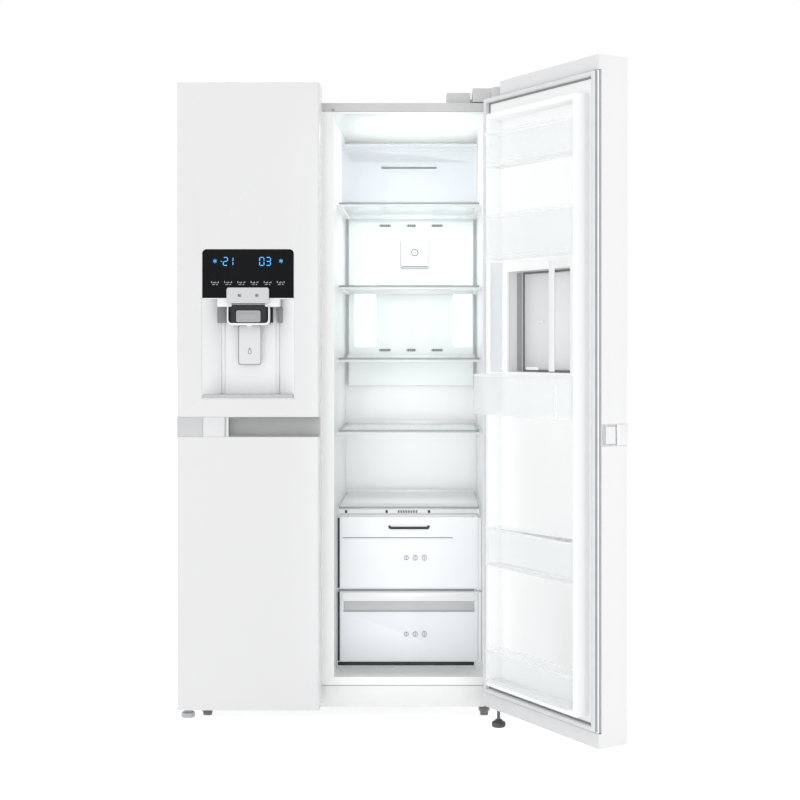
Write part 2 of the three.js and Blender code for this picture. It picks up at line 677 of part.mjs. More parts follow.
function ceilingLamp() {
  const lens = roundRect([COOL_X - 85, COOL_X + 113], [CASE_FRONT + 230, CASE_FRONT + 274], 8);
  return raise(lens, [CEILING - 10, CEILING - FIT]);
}

const SWITCH_X = SPLIT_X + 27;
const SWITCH_Z = TRIM_LOW + 4;
const SWITCH_R = 3;
const SWITCH_DEEP = 20;

function doorSwitch() {
  return rodY(SWITCH_X, [CASE_FRONT - 7, CASE_FRONT + SWITCH_DEEP - 8], SWITCH_Z, SWITCH_R, 14);
}

// ---- freezer compartment

const ICE_BIN = [1290, 1520];
const FREEZER_SHELF = 850;
const FREEZER_DRAWER_X = grown(FREEZER_IN, -DRAWER_SIDE);

// ---- doors

const SLAB_Z = [DOOR_BOTTOM + CAP_HIGH, TRIM_TOP];
const GASKET_Y = [DOOR_BACK + FIT, DOOR_BACK + FIT + GASKET_DEEP];
const GASKET_Z = [FLANGE_BOTTOM + 1, TRIM_TOP - 4];
const DIKE_Z = [FLOOR + 10, CEILING - 25];

// room at the top corner of a door for the hinge arm to swing round
function hingeNotch() {
  const y = [NOTCH_FRONT, DOOR_BACK + 1];
  return box([HALF - NOTCH_LONG, HALF + 1], y, [NOTCH_BOTTOM, DOOR_TOP + 1]);
}

// a door's slab between its free edge and its hinge side, drawn with the hinge on the right
function slab(x) {
  const plan = new THREE.Shape();
  const r = DOOR_EDGE_R;
  plan.moveTo(x[0], DOOR_BACK);
  plan.lineTo(x[0], r);
  plan.absarc(x[0] + r, r, r, Math.PI, Math.PI * 1.5);
  plan.lineTo(x[1] - r, 0);
  plan.absarc(x[1] - r, r, r, Math.PI * 1.5, Math.PI * 2);
  plan.lineTo(x[1], DOOR_BACK);
  let body = raise(plan, [DOOR_BOTTOM, DOOR_TOP], 4);
  body = body.subtract(box(grown(x, 1), [DOOR_CORE, DOOR_BACK + 1], SLAB_Z));
  body = body.subtract(hingeNotch());
  const topBore = [ARM_Z[0] - TOP_PIN_LONG - BORE_END, NOTCH_BOTTOM + 1];
  body = body.subtract(rod(PIN_X, PIN_Y, topBore, PIN_R + RUN, 16));
  body = body.subtract(rod(PIN_X, PIN_Y, [DOOR_BOTTOM - 1, LOW_PIN_TOP + BORE_END], LOW_PIN_R + RUN, 20));
  return body.subtract(box(grown(x, 1), [-1, GRIP_DEEP], [GRIP_LOW, GRIP_TOP]));
}

const GRIP_SUNK = 0.5; // the band lies a little behind the door's face

function grip(x) {
  const y = [GRIP_SUNK, GRIP_DEEP - FIT];
  const z = grown([GRIP_LOW, GRIP_TOP], -FIT);
  const pocket = box([x[0] - 1, x[1] - GRIP_SOLID], [-1, y[1] - GRIP_WALL], grown(z, -GRIP_WALL));
  return box(grown(x, -1), y, z).subtract(pocket);
}

// the seal runs round the door's inner face and stops short of the hinge
function gasket(x) {
  const outer = [x[0] + 4, x[1] - 23];
  const ring = box(outer, GASKET_Y, GASKET_Z);
  return ring.subtract(box(grown(outer, -GASKET_WIDE), grown(GASKET_Y, 1), grown(GASKET_Z, -GASKET_WIDE)));
}

function dike(x, deep) {
  const y = [DOOR_CORE + FIT + 1, DOOR_BACK + deep];
  const ring = box(x, y, DIKE_Z);
  return ring.subtract(box(grown(x, -DIKE_WALL), grown(y, 2), grown(DIKE_Z, -DIKE_WALL)));
}

function doorLiner(x, wall, deep) {
  const plate = box(grown(x, -3), [DOOR_CORE + FIT, DOOR_BACK], grown(SLAB_Z, -FIT));
  return plate.subtract(hingeNotch()).add(dike(wall, deep));
}

const FRIDGE_DOOR_X = [FRIDGE_EDGE, HALF];
const FREEZER_DOOR_X = [-FREEZER_EDGE, HALF]; // as drawn, before it is mirrored
const FRIDGE_DIKE = grown(FRIDGE_IN, -11);
const FREEZER_DIKE = grown(mirrored(FREEZER_IN), -14);
const BASKET_X = grown(FRIDGE_DIKE, -DIKE_WALL - 1);
const BASKET_Y = [DOOR_BACK + FIT, DOOR_BACK + FIT + BASKET_DEEP];

function dispenserPlan(by) {
  const low = DISP_DEEP + by;
  return polygon([
    [DISP_X - DISP_HALF - by, -2], [DISP_X - DISP_HALF - by, 4],
    [DISP_X - DISP_BACK_HALF - by, low], [DISP_X + DISP_BACK_HALF + by, low],
    [DISP_X + DISP_HALF + by, 4], [DISP_X + DISP_HALF + by, -2],
  ]);
}

function panelFace(by) {
  const x = grown([DISP_X - DISP_HALF, DISP_X + DISP_HALF], by);
  const top = DISP_TOP + by;
  const r = PANEL_CORNER + by;
  const shape = new THREE.Shape();
  shape.moveTo(x[0], DISP_SPLIT);
  shape.lineTo(x[1], DISP_SPLIT);
  shape.lineTo(x[1], top - r);
  shape.absarc(x[1] - r, top - r, r, 0, Math.PI / 2);
  shape.lineTo(x[0] + r, top);
  shape.absarc(x[0] + r, top - r, r, Math.PI / 2, Math.PI);
  return shape;
}

function freezerDoorSlab() {
  let body = slab(FREEZER_DOOR_X).mirror([1, 0, 0]);
  const recess = raise(dispenserPlan(DISP_WALL + FIT), [DISP_LOW - FIT, DISP_SPLIT + FIT]);
  const panel = push(panelFace(FIT), [-1, PANEL_THICK + FIT]);
  return body.subtract(recess).subtract(panel);
}

function dispenserRecess() {
  const outer = raise(dispenserPlan(DISP_WALL), [DISP_LOW, DISP_SPLIT - FIT]);
  const inner = raise(dispenserPlan(0), [DISP_LOW + DISP_WALL, DISP_SPLIT - FIT - DISP_WALL]);
  const front = box([-WIDTH, WIDTH], [-10, 0.2], [0, DOOR_TOP]);
  return outer.subtract(inner).subtract(front);
}

function displayPanel() {
  return push(panelFace(0), [0.2, PANEL_THICK]);
}

const NOZZLE_TOP = DISP_SPLIT - FIT - DISP_WALL - FIT;
const NOZZLE_LOW = NOZZLE_TOP - 66.9;
const NOZZLE_HALF = 56;
const NOZZLE_R = 18;
const NOZZLE_FRONT = 4;
const COVER_WIDE = 58; // half the spout cover's width
const COVER_Z_RANGE = [DISP_SPLIT - 15, DISP_SPLIT + 28];
const LEVER = { half: 34, z: [NOZZLE_LOW + 3, NOZZLE_LOW + 36], y: [5, 10] };
const PADDLE = { half: 33, z: [NOZZLE_LOW - 116, NOZZLE_LOW + 14], y: [DISP_DEEP - 22, DISP_DEEP - 17] };

// white cover over the ice chute, standing a little proud of the door
function spoutCover() {
  const x = grown([DISP_X, DISP_X], COVER_WIDE);
  const front = push(roundRect(x, COVER_Z_RANGE, 6), [-7, -FIT]);
  return front.add(box(x, [-2, NOZZLE_FRONT - 1.5], [COVER_Z_RANGE[0], NOZZLE_TOP - 0.2]));
}

// the ice chute's mouth: open at the bottom for the ice and the water, and in front for the lever
function dispenserNozzle() {
  const x = grown([DISP_X, DISP_X], NOZZLE_HALF);
  const back = DISP_DEEP - FIT;
  const bend = NOZZLE_FRONT + NOZZLE_R;
  const plan = new THREE.Shape();
  plan.moveTo(x[0], back);
  plan.lineTo(x[0], bend);
  plan.absarc(x[0] + NOZZLE_R, bend, NOZZLE_R, Math.PI, Math.PI * 1.5);
  plan.lineTo(x[1] - NOZZLE_R, NOZZLE_FRONT);
  plan.absarc(x[1] - NOZZLE_R, bend, NOZZLE_R, Math.PI * 1.5, Math.PI * 2);
  plan.lineTo(x[1], back);
  const leverX = grown([DISP_X, DISP_X], LEVER.half + 1);
  const leverRoom = box(leverX, [0, LEVER.y[1] + 9], [LEVER.z[0] - 5, LEVER.z[1] + 1.5]);
  const paddleX = grown([DISP_X, DISP_X], PADDLE.half + 1.5);
  const paddleRoom = box(paddleX, [PADDLE.y[0] - 6, PADDLE.y[1] + 8], [NOZZLE_LOW - 1, PADDLE.z[1] + 4]);
  const chute = rod(DISP_X, 28, [NOZZLE_LOW - 1, NOZZLE_LOW + 34], 8, 16);
  const body = raise(plan, [NOZZLE_LOW, NOZZLE_TOP], 4);
  return body.subtract(leverRoom).subtract(chute).subtract(paddleRoom);
}

function dispenserLever() {
  const { half, z, y } = LEVER;
  return push(roundRect([DISP_X - half, DISP_X + half], z, 5), y);
}

function dispenserPaddle() {
  const { half, z, y } = PADDLE;
  return push(roundRect([DISP_X - half, DISP_X + half], z, 8), y);
}

const DRIP_SLOTS = 3; // on each side of the middle one
const DRIP_PITCH = 20;

function dripTray() {
  const z = [DISP_LOW + DISP_WALL + FIT, DISP_LOW + DISP_WALL + 9];
  let tray = raise(dispenserPlan(-DISP_WALL), z);
  tray = tray.subtract(box([-WIDTH, WIDTH], [-10, 1], [0, DOOR_TOP]));
  for (let i = -DRIP_SLOTS; i <= DRIP_SLOTS; i += 1) {
    const x = DISP_X + i * DRIP_PITCH;
    tray = tray.subtract(box(grown([x, x], DRIP_PITCH / 4), [14, DISP_DEEP - 14], [z[0] + 3, z[1] + 1]));
  }
  return tray;
}

const TRAY_FLOORS = [300, 560, 1400];
const TRAY_WALL = 3;
const TRAY_HIGH = 60;

// the freezer door's liner has three trays moulded into it
function freezerDoorLiner() {
  let body = doorLiner(FREEZER_DOOR_X, FREEZER_DIKE, DIKE_DEEP - 6);
  const x = grown(FREEZER_DIKE, -DIKE_WALL + 1);
  const y = [DOOR_BACK - 1, DOOR_BACK + DIKE_DEEP - 8];
  for (const z of TRAY_FLOORS) {
    body = body.add(box(x, y, [z, z + TRAY_WALL]));
    body = body.add(box(x, [y[1] - TRAY_WALL, y[1]], [z, z + TRAY_HIGH]));
  }
  return body.mirror([1, 0, 0]);
}

function barFace(by) {
  return [[BAR_X - BAR_HALF - by, BAR_X + BAR_HALF + by], [BAR_LOW - by, BAR_TOP + by]];
}

function fridgeDoorSlab() {
  const [x, z] = barFace(0);
  const [lapX, lapZ] = barFace(BAR_LAP);
  const opening = box(x, [-1, CASE_FRONT], z);
  const lap = box(lapX, [-1, BAR_PANEL + 1], [lapZ[0] - 1.5, lapZ[1]]);
  return slab(FRIDGE_DOOR_X).subtract(opening).subtract(lap);
}

function fridgeDoorLiner() {
  const [x, z] = barFace(0);
  return doorLiner(FRIDGE_DOOR_X, FRIDGE_DIKE, DIKE_DEEP).subtract(box(x, [DOOR_CORE - 10, CASE_FRONT], z));
}

function homeBarDoor() {
  const [lapX, lapZ] = barFace(BAR_LAP - 1);
  const [plugX, plugZ] = barFace(-3.5);
  const panel = box(lapX, [0, BAR_PANEL], lapZ);
  return panel.add(box(plugX, [BAR_PANEL - 1, BAR_PANEL + BAR_PLUG], plugZ));
}

const BAR_SHADE = 38; // depth of the walls and roof behind the hatch

// a bin below the hatch's opening, with walls and a roof round the opening
function homeBarCase() {
  const y0 = BASKET_Y[0];
  const outer = grown(BASKET_X, -1);
  const binTop = BAR_LOW - 6;
  const bin = push(roundRect(outer, [BAR_CASE_LOW, binTop], 4), [y0, y0 + BAR_CASE_DEEP]);
  const inside = box(grown(outer, -DRAWER_WALL), [y0 + DRAWER_WALL, y0 + BAR_CASE_DEEP - DRAWER_WALL],
    [BAR_CASE_LOW + DRAWER_WALL, binTop + 1]);
  let body = bin.subtract(inside);
  for (const x of [[outer[0], outer[0] + DRAWER_WALL], [outer[1] - DRAWER_WALL, outer[1]]]) {
    body = body.add(box(x, [y0, y0 + BAR_SHADE], [binTop - 10, BAR_CASE_TOP]));
  }
  return body.add(box(outer, [y0, y0 + BAR_SHADE], [BAR_CASE_TOP - DRAWER_WALL, BAR_CASE_TOP]));
}

function homeBarFlap() {
  const back = BASKET_Y[0] + BAR_SHADE - 4;
  return box(grown(BASKET_X, -6), [back - DRAWER_WALL, back], [BAR_LOW + 3, BAR_CASE_TOP - 5]);
}

function basket([low, high]) {
  const z = [low + DRAWER_WALL, high + 1];
  const inside = box(grown(BASKET_X, -DRAWER_WALL), grown(BASKET_Y, -DRAWER_WALL), z);
  return raise(roundRect(BASKET_X, BASKET_Y, 6), [low, high], 3).subtract(inside);
}

// ---- assembly
add('cabinet_shell', cabinetShell(), 'white');
add('back_panel', backPanel(), 'steel');
add('insulation', insulation(), 'foam');
add('freezer_liner', freezerLiner(), 'liner');
add('fridge_liner', fridgeLiner(), 'liner');
add('front_rail', frontRail(), 'white');
add('top_trim', topTrim(), 'grey');
add('door_switch', doorSwitch(), 'darkGrey');
add('base_grille', baseGrille(), 'white');
add('base_tray', baseTray(), 'steel');
add('machine_cover', machineCover(), 'steel');
add('compressor', compressor(), 'cast');
add('condenser_fan', condenserFan(), 'rubber');
for (const [word, side, lift] of [['left', -1, LEG_TRAVEL], ['right', 1, 0]]) {
  add(`${word}_top_hinge`, topHinge(side), 'steel');
  add(`${word}_hinge_cover`, hingeCover(side), 'grey');
  add(`${word}_bottom_hinge`, bottomHinge(side), 'steel');
  add(`${word}_leg`, leg(side, lift), 'rubber');
  add(`front_${word}_roller`, roller(side * WHEEL_X, WHEEL_FRONT_Y), 'rubber');
  add(`rear_${word}_roller`, roller(side * WHEEL_X, WHEEL_REAR_Y), 'rubber');
}
add('air_duct', airDuct(), 'white');
add('ceiling_lamp', ceilingLamp(), 'lamp');
SHELF_TOPS.forEach((top, i) => add(`shelf_${i + 1}`, shelf(SHELF_X, top), 'clear'));
add('crisper_cover', shelf(SHELF_X, COVER_Z, 26), 'clear');
add('chill_drawer', chillDrawer(), 'clear');
add('upper_crisper', upperCrisper(), 'clear');
add('lower_crisper', lowerCrisper(), 'clear');
add('freezer_shelf', shelf(grown(FREEZER_IN, -SHELF_SIDE), FREEZER_SHELF), 'clear');
add('freezer_drawer', tub(FREEZER_DRAWER_X, [SHELF_FRONT, LOW_DRAWER_BACK], LOWER_DRAWER), 'clear');
add('ice_bin', tub(grown(FREEZER_IN, -8), [SHELF_FRONT, DRAWER_BACK], ICE_BIN), 'white');

add('freezer_door', freezerDoorSlab(), 'doorWhite', freezerDoor);
add('freezer_door_liner', freezerDoorLiner(), 'liner', freezerDoor);
add('freezer_door_gasket', gasket(FREEZER_DOOR_X).mirror([1, 0, 0]), 'gasket', freezerDoor);
add('freezer_grip', grip(FREEZER_DOOR_X).mirror([1, 0, 0]), 'darkGrey', freezerDoor);
add('dispenser_recess', dispenserRecess(), 'white', freezerDoor);
add('display_panel', displayPanel(), 'black', freezerDoor);
add('spout_cover', spoutCover(), 'white', freezerDoor);
add('dispenser_nozzle', dispenserNozzle(), 'nozzle', freezerDoor);
add('dispenser_lever', dispenserLever(), 'grey', freezerDoor);
add('dispenser_paddle', dispenserPaddle(), 'white', freezerDoor);
add('drip_tray', dripTray(), 'grey', freezerDoor);

add('fridge_door', fridgeDoorSlab(), 'doorWhite', fridgeDoor);
add('fridge_door_liner', fridgeDoorLiner(), 'liner', fridgeDoor);
add('fridge_door_gasket', gasket(FRIDGE_DOOR_X), 'gasket', fridgeDoor);
add('fridge_grip', grip(FRIDGE_DOOR_X), 'darkGrey', fridgeDoor);
BASKETS.forEach((z, i) => add(`door_basket_${i + 1}`, basket(z), 'clear', fridgeDoor));
add('home_bar_door', homeBarDoor(), 'doorWhite', fridgeDoor);
add('home_bar_case', homeBarCase(), 'clear', fridgeDoor);
add('home_bar_flap', homeBarFlap(), 'clear', fridgeDoor);

// the origin is on the floor, at the middle of the space that the refrigerator takes as it stands
root.updateMatrixWorld(true);
const space = new THREE.Box3().setFromObject(root, true);
const middle = space.getCenter(new THREE.Vector3());
root.position.set(-middle.x, -middle.y, 0);

export default root;
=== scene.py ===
# Looks of the side by side refrigerator: painted doors, moulded liners, glass shelves, clear
# drawers and baskets, the dispenser with its display, and the machine compartment behind.
import json
import math
import bmesh
import bpy
from mathutils import Matrix, Vector

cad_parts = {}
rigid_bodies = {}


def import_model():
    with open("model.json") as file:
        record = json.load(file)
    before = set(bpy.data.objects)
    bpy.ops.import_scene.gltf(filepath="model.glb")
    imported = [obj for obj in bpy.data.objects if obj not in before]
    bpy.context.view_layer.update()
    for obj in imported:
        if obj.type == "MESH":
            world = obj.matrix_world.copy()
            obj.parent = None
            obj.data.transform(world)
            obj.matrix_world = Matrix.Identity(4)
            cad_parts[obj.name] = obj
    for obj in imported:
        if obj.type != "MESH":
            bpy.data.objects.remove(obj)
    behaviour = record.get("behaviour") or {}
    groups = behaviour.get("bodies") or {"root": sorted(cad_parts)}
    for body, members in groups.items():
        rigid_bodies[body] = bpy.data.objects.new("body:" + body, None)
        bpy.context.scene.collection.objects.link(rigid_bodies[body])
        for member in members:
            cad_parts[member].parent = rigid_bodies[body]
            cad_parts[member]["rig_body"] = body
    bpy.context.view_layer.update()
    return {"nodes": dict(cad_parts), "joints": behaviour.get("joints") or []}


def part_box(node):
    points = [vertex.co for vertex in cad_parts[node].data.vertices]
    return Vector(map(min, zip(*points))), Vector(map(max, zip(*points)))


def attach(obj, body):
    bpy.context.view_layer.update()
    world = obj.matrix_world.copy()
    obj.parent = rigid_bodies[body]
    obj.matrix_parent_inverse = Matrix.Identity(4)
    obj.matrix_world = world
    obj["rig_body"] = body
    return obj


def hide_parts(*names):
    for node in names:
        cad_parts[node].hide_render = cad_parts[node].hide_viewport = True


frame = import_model()

# ---- the refrigerator's own frame: millimetres, X from the cabinet's middle, Y from the shut doors' faces
case_low, case_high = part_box("cabinet_shell")
slab_low, slab_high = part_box("freezer_door")
MM = 0.001
STAND = Matrix.Translation(((case_low.x + case_high.x) / 2, slab_low.y, 0)) @ Matrix.Scale(MM, 4)
fridge_hinge = next(j for j in frame["joints"] if j["name"] == "fridge_door_hinge")
PIN = Vector(fridge_hinge["pos_m"])
OPEN = -math.radians(min(fridge_hinge["range_deg"]))
SWING = Matrix.Translation(PIN) @ Matrix.Rotation(OPEN, 4, "Z") @ Matrix.Translation(-PIN)
DOOR = SWING @ STAND
DOOR_BODIES = {"fridge_door", "home_bar_door", "home_bar_flap"}


def place_of(body):
    """Where a piece drawn in the refrigerator's frame, doors shut, goes in the row's frame."""
    return DOOR if body in DOOR_BODIES else STAND


def body_of(node):
    return frame["nodes"][node]["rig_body"]


def span(node):
    """A CAD node's ranges in X, Y and Z, in millimetres with the doors shut."""
    back = place_of(body_of(node)).inverted()
    points = [back @ v.co for v in frame["nodes"][node].data.vertices]
    return [(min(p[i] for p in points), max(p[i] for p in points)) for i in range(3)]


def grown(pair, by):
    return (pair[0] - by, pair[1] + by)


def about(middle, half):
    return (middle - half, middle + half)


def mid(pair):
    return (pair[0] + pair[1]) / 2


def tone(red, green, blue):
    """A colour on the screen's 0 to 255 scale as the linear one that shaders take."""
    def linear(c):
        c /= 255
        return c / 12.92 if c <= 0.04045 else ((c + 0.055) / 1.055) ** 2.4
    return (linear(red), linear(green), linear(blue), 1.0)


# ---- shader groups: each works out colour, roughness or relief over the surface
def new_group(name, inputs, outputs):
    tree = bpy.data.node_groups.new(name, "ShaderNodeTree")
    for socket, kind, default in inputs:
        made = tree.interface.new_socket(socket, in_out="INPUT", socket_type=f"NodeSocket{kind}")
        if default is not None:
            made.default_value = default
    for socket, kind in outputs:
        tree.interface.new_socket(socket, in_out="OUTPUT", socket_type=f"NodeSocket{kind}")
    return tree, tree.nodes.new("NodeGroupInput"), tree.nodes.new("NodeGroupOutput")


def noise_node(tree, scale, detail=3.0):
    node = tree.nodes.new("ShaderNodeTexNoise")
    node.inputs["Detail"].default_value = detail
    if scale is not None:
        node.inputs["Scale"].default_value = scale
    return node


def make_mottle():
    """Slow changes of colour and roughness, as in moulded plastic and sprayed paint."""
    tree, given, out = new_group(
        "mottle",
        [("Vector", "Vector", None), ("Colour", "Color", (0.8, 0.8, 0.8, 1)),
         ("Patches", "Color", (0.7, 0.7, 0.7, 1)),
         ("Scale", "Float", 6.0), ("Roughness", "Float", 0.4), ("Roughness Spread", "Float", 0.1)],
        [("Colour", "Color"), ("Roughness", "Float")])
    noise = noise_node(tree, None)
    tree.links.new(given.outputs["Vector"], noise.inputs["Vector"])
    tree.links.new(given.outputs["Scale"], noise.inputs["Scale"])
    mix = tree.nodes.new("ShaderNodeMix")
    mix.data_type = "RGBA"
    tree.links.new(noise.outputs["Fac"], mix.inputs["Factor"])
    tree.links.new(given.outputs["Colour"], mix.inputs[6])
    tree.links.new(given.outputs["Patches"], mix.inputs[7])
    tree.links.new(mix.outputs[2], out.inputs["Colour"])
    centred = tree.nodes.new("ShaderNodeMath")
    centred.operation = "SUBTRACT"
    centred.inputs[1].default_value = 0.5
    tree.links.new(noise.outputs["Fac"], centred.inputs[0])
    spread = tree.nodes.new("ShaderNodeMath")
    spread.operation = "MULTIPLY_ADD"
    tree.links.new(centred.outputs[0], spread.inputs[0])
    tree.links.new(given.outputs["Roughness Spread"], spread.inputs[1])
    tree.links.new(given.outputs["Roughness"], spread.inputs[2])
    tree.links.new(spread.outputs[0], out.inputs["Roughness"])
    return tree


def make_grain():
    """Fine relief: the orange peel of paint, or the grain of a mould. Stretch lengthens it along X."""
    tree, given, out = new_group(
        "grain",
        [("Vector", "Vector", None), ("Scale", "Float", 600.0), ("Strength", "Float", 0.1),
         ("Distance", "Float", 0.0002), ("Stretch", "Vector", (1, 1, 1))],
        [("Normal", "Vector"), ("Height", "Float")])
    stretch = tree.nodes.new("ShaderNodeVectorMath")
    stretch.operation = "MULTIPLY"
    tree.links.new(given.outputs["Vector"], stretch.inputs[0])
    tree.links.new(given.outputs["Stretch"], stretch.inputs[1])
    noise = noise_node(tree, None, 2.0)
    tree.links.new(stretch.outputs[0], noise.inputs["Vector"])
    tree.links.new(given.outputs["Scale"], noise.inputs["Scale"])
    bump = tree.nodes.new("ShaderNodeBump")
    tree.links.new(noise.outputs["Fac"], bump.inputs["Height"])
    tree.links.new(given.outputs["Strength"], bump.inputs["Strength"])
    tree.links.new(given.outputs["Distance"], bump.inputs["Distance"])
    tree.links.new(bump.outputs["Normal"], out.inputs["Normal"])
    tree.links.new(noise.outputs["Fac"], out.inputs["Height"])
    return tree


def make_dust():
    """A little grey dust and scuffing low down."""
    tree, given, out = new_group(
        "dust",
        [("Vector", "Vector", None), ("Colour", "Color", (0.8, 0.8, 0.8, 1)),
         ("Dust", "Color", (0.35, 0.33, 0.3, 1)),
         ("Amount", "Float", 0.3), ("Below", "Float", 0.2)],
        [("Colour", "Color")])
    axes = tree.nodes.new("ShaderNodeSeparateXYZ")
    tree.links.new(given.outputs["Vector"], axes.inputs[0])
    low = tree.nodes.new("ShaderNodeMapRange")
    low.inputs["To Min"].default_value = 1.0
    low.inputs["To Max"].default_value = 0.0
    low.inputs["From Min"].default_value = 0.0
    tree.links.new(axes.outputs["Z"], low.inputs["Value"])
    tree.links.new(given.outputs["Below"], low.inputs["From Max"])
    noise = noise_node(tree, 35.0, 6.0)
    tree.links.new(given.outputs["Vector"], noise.inputs["Vector"])
    speckle = tree.nodes.new("ShaderNodeMath")
    speckle.operation = "MULTIPLY"
    tree.links.new(noise.outputs["Fac"], speckle.inputs[0])
    tree.links.new(low.outputs["Result"], speckle.inputs[1])
    amount = tree.nodes.new("ShaderNodeMath")
    amount.operation = "MULTIPLY"
    amount.use_clamp = True
    tree.links.new(speckle.outputs[0], amount.inputs[0])
    tree.links.new(given.outputs["Amount"], amount.inputs[1])
    mix = tree.nodes.new("ShaderNodeMix")
    mix.data_type = "RGBA"
    tree.links.new(amount.outputs[0], mix.inputs["Factor"])
    tree.links.new(given.outputs["Colour"], mix.inputs[6])
    tree.links.new(given.outputs["Dust"], mix.inputs[7])
    tree.links.new(mix.outputs[2], out.inputs["Colour"])
    return tree


MOTTLE = make_mottle()
GRAIN = make_grain()
DUST = make_dust()


def group_node(tree, group, vector, **values):
    node = tree.nodes.new("ShaderNodeGroup")
    node.node_tree = group
    tree.links.new(vector, node.inputs["Vector"])
    for socket, value in values.items():
        node.inputs[socket.replace("_", " ")].default_value = value
    return node


def finish(name, colour, rough, patches=None, patch_scale=5.0, spread=0.08, grain=(700.0, 0.08, 0.0002),
           stretch=(1, 1, 1), metal=0.0, coat=0.0, specular=0.5, dust=None, glow=None):
    """An opaque finish: mottled colour and roughness, fine relief, and dust where it gathers."""
    material = bpy.data.materials.new(name)
    material.use_nodes = True
    tree = material.node_tree
    shader = tree.nodes["Principled BSDF"]
    place = tree.nodes.new("ShaderNodeTexCoord").outputs["Object"]
    patches = patches or tuple(c * 0.965 for c in colour[:3]) + (1,)
    skin = group_node(tree, MOTTLE, place, Colour=colour, Patches=patches, Scale=patch_scale,
                      Roughness=rough, Roughness_Spread=spread)
    relief = group_node(tree, GRAIN, place, Scale=grain[0], Strength=grain[1], Distance=grain[2],
                        Stretch=stretch)
    shown = skin.outputs["Colour"]
    if dust:
        dusty = group_node(tree, DUST, place, Amount=dust[0], Below=dust[1])
        tree.links.new(shown, dusty.inputs["Colour"])
        shown = dusty.outputs["Colour"]
    tree.links.new(shown, shader.inputs["Base Color"])
    tree.links.new(skin.outputs["Roughness"], shader.inputs["Roughness"])
    tree.links.new(relief.outputs["Normal"], shader.inputs["Normal"])
    shader.inputs["Metallic"].default_value = metal
    shader.inputs["Coat Weight"].default_value = coat
    shader.inputs["Specular IOR Level"].default_value = specular
    if glow:
        tree.links.new(shown, shader.inputs["Emission Color"])
        shader.inputs["Emission Strength"].default_value = glow
    return material


CLEAR = set()


def see_through(name, colour, rough, face_on, edge_on, grain=(90.0, 0.05, 0.0006)):
    """Clear plastic or glass: thin where it is looked through, whiter towards its edges."""
    material = bpy.data.materials.new(name)
    material.use_nodes = True
    material.surface_render_method = "BLENDED"
    tree = material.node_tree
    shader = tree.nodes["Principled BSDF"]
    place = tree.nodes.new("ShaderNodeTexCoord").outputs["Object"]
    skin = group_node(tree, MOTTLE, place, Colour=colour,
                      Patches=tuple(c * 0.97 for c in colour[:3]) + (1,),
                      Scale=8.0, Roughness=rough, Roughness_Spread=0.06)
    relief = group_node(tree, GRAIN, place, Scale=grain[0], Strength=grain[1], Distance=grain[2])
    facing = tree.nodes.new("ShaderNodeLayerWeight")
    facing.inputs["Blend"].default_value = 0.45
    cover = tree.nodes.new("ShaderNodeMapRange")
    cover.inputs["To Min"].default_value = face_on
    cover.inputs["To Max"].default_value = edge_on
    tree.links.new(facing.outputs["Facing"], cover.inputs["Value"])
    tree.links.new(cover.outputs["Result"], shader.inputs["Alpha"])
    tree.links.new(skin.outputs["Colour"], shader.inputs["Base Color"])
    tree.links.new(skin.outputs["Roughness"], shader.inputs["Roughness"])
    tree.links.new(relief.outputs["Normal"], shader.inputs["Normal"])
    shader.inputs["IOR"].default_value = 1.49
    CLEAR.add(name)
    return material


PAINT_GRAIN = (260.0, 0.06, 0.0004)
MOULD_GRAIN = (900.0, 0.10, 0.00015)
door_paint = finish("door_paint", tone(228, 228, 229), 0.26, tone(225, 225, 226), 2.2, 0.05, PAINT_GRAIN,
                    coat=0.2)
cabinet_paint = finish("cabinet_paint", tone(222, 223, 224), 0.34, tone(218, 220, 220), 2.0, 0.07,
                       PAINT_GRAIN,
                       coat=0.15, dust=(0.25, 0.2))
frame_paint = finish("frame_paint", tone(251, 252, 251), 0.36, tone(248, 250, 249), 4.0, 0.06, PAINT_GRAIN)
cap_plastic = finish("cap_plastic", tone(227, 228, 229), 0.42, tone(221, 222, 223), 9.0, 0.08, MOULD_GRAIN)
base_plastic = finish("base_plastic", tone(244, 245, 245), 0.42, tone(240, 241, 241), 9.0, 0.08,
                      MOULD_GRAIN)
liner_plastic = finish("liner_plastic", tone(250, 251, 251), 0.3, tone(247, 249, 249), 4.0, 0.1,
                       (160.0, 0.05, 0.0005), coat=0.1)
duct_plastic = finish("duct_plastic", tone(243, 248, 247), 0.32, tone(239, 246, 246), 5.0, 0.1,
                      (200.0, 0.05, 0.0004))
# the top trim's grey, also painted shade lines at the fridge grip groove's edges on the door's end
trim_grey_and_seam_shade = finish("trim_grey_and_seam_shade", tone(205, 205, 205), 0.4, tone(197, 198, 198), 7.0, 0.08, MOULD_GRAIN)
hinge_cover_plastic = finish("hinge_cover_plastic", tone(212, 213, 213), 0.42, tone(198, 200, 200), 12.0,
                             0.1,
                             MOULD_GRAIN, dust=(0.0, 0.2))
hinge_steel = finish("hinge_steel", tone(150, 152, 154), 0.36, tone(120, 122, 124), 60.0, 0.15,
                     (1200.0, 0.12, 0.0001), metal=0.85)
zinc_steel = finish("zinc_steel", tone(186, 190, 193), 0.4, tone(160, 165, 170), 26.0, 0.22,
                    (500.0, 0.12, 0.0002), metal=0.8, dust=(0.5, 0.3))
foam_core = finish("foam_core", tone(236, 224, 184), 0.9, tone(214, 198, 150), 40.0, 0.1,
                   (300.0, 0.5, 0.001))
pump_enamel = finish("pump_enamel", tone(30, 31, 34), 0.38, tone(48, 48, 50), 20.0, 0.15, PAINT_GRAIN,
                     dust=(0.6, 0.25))
copper = finish("copper", tone(184, 110, 78), 0.35, tone(140, 84, 60), 40.0, 0.2, (400.0, 0.1, 0.0002),
                metal=0.95)
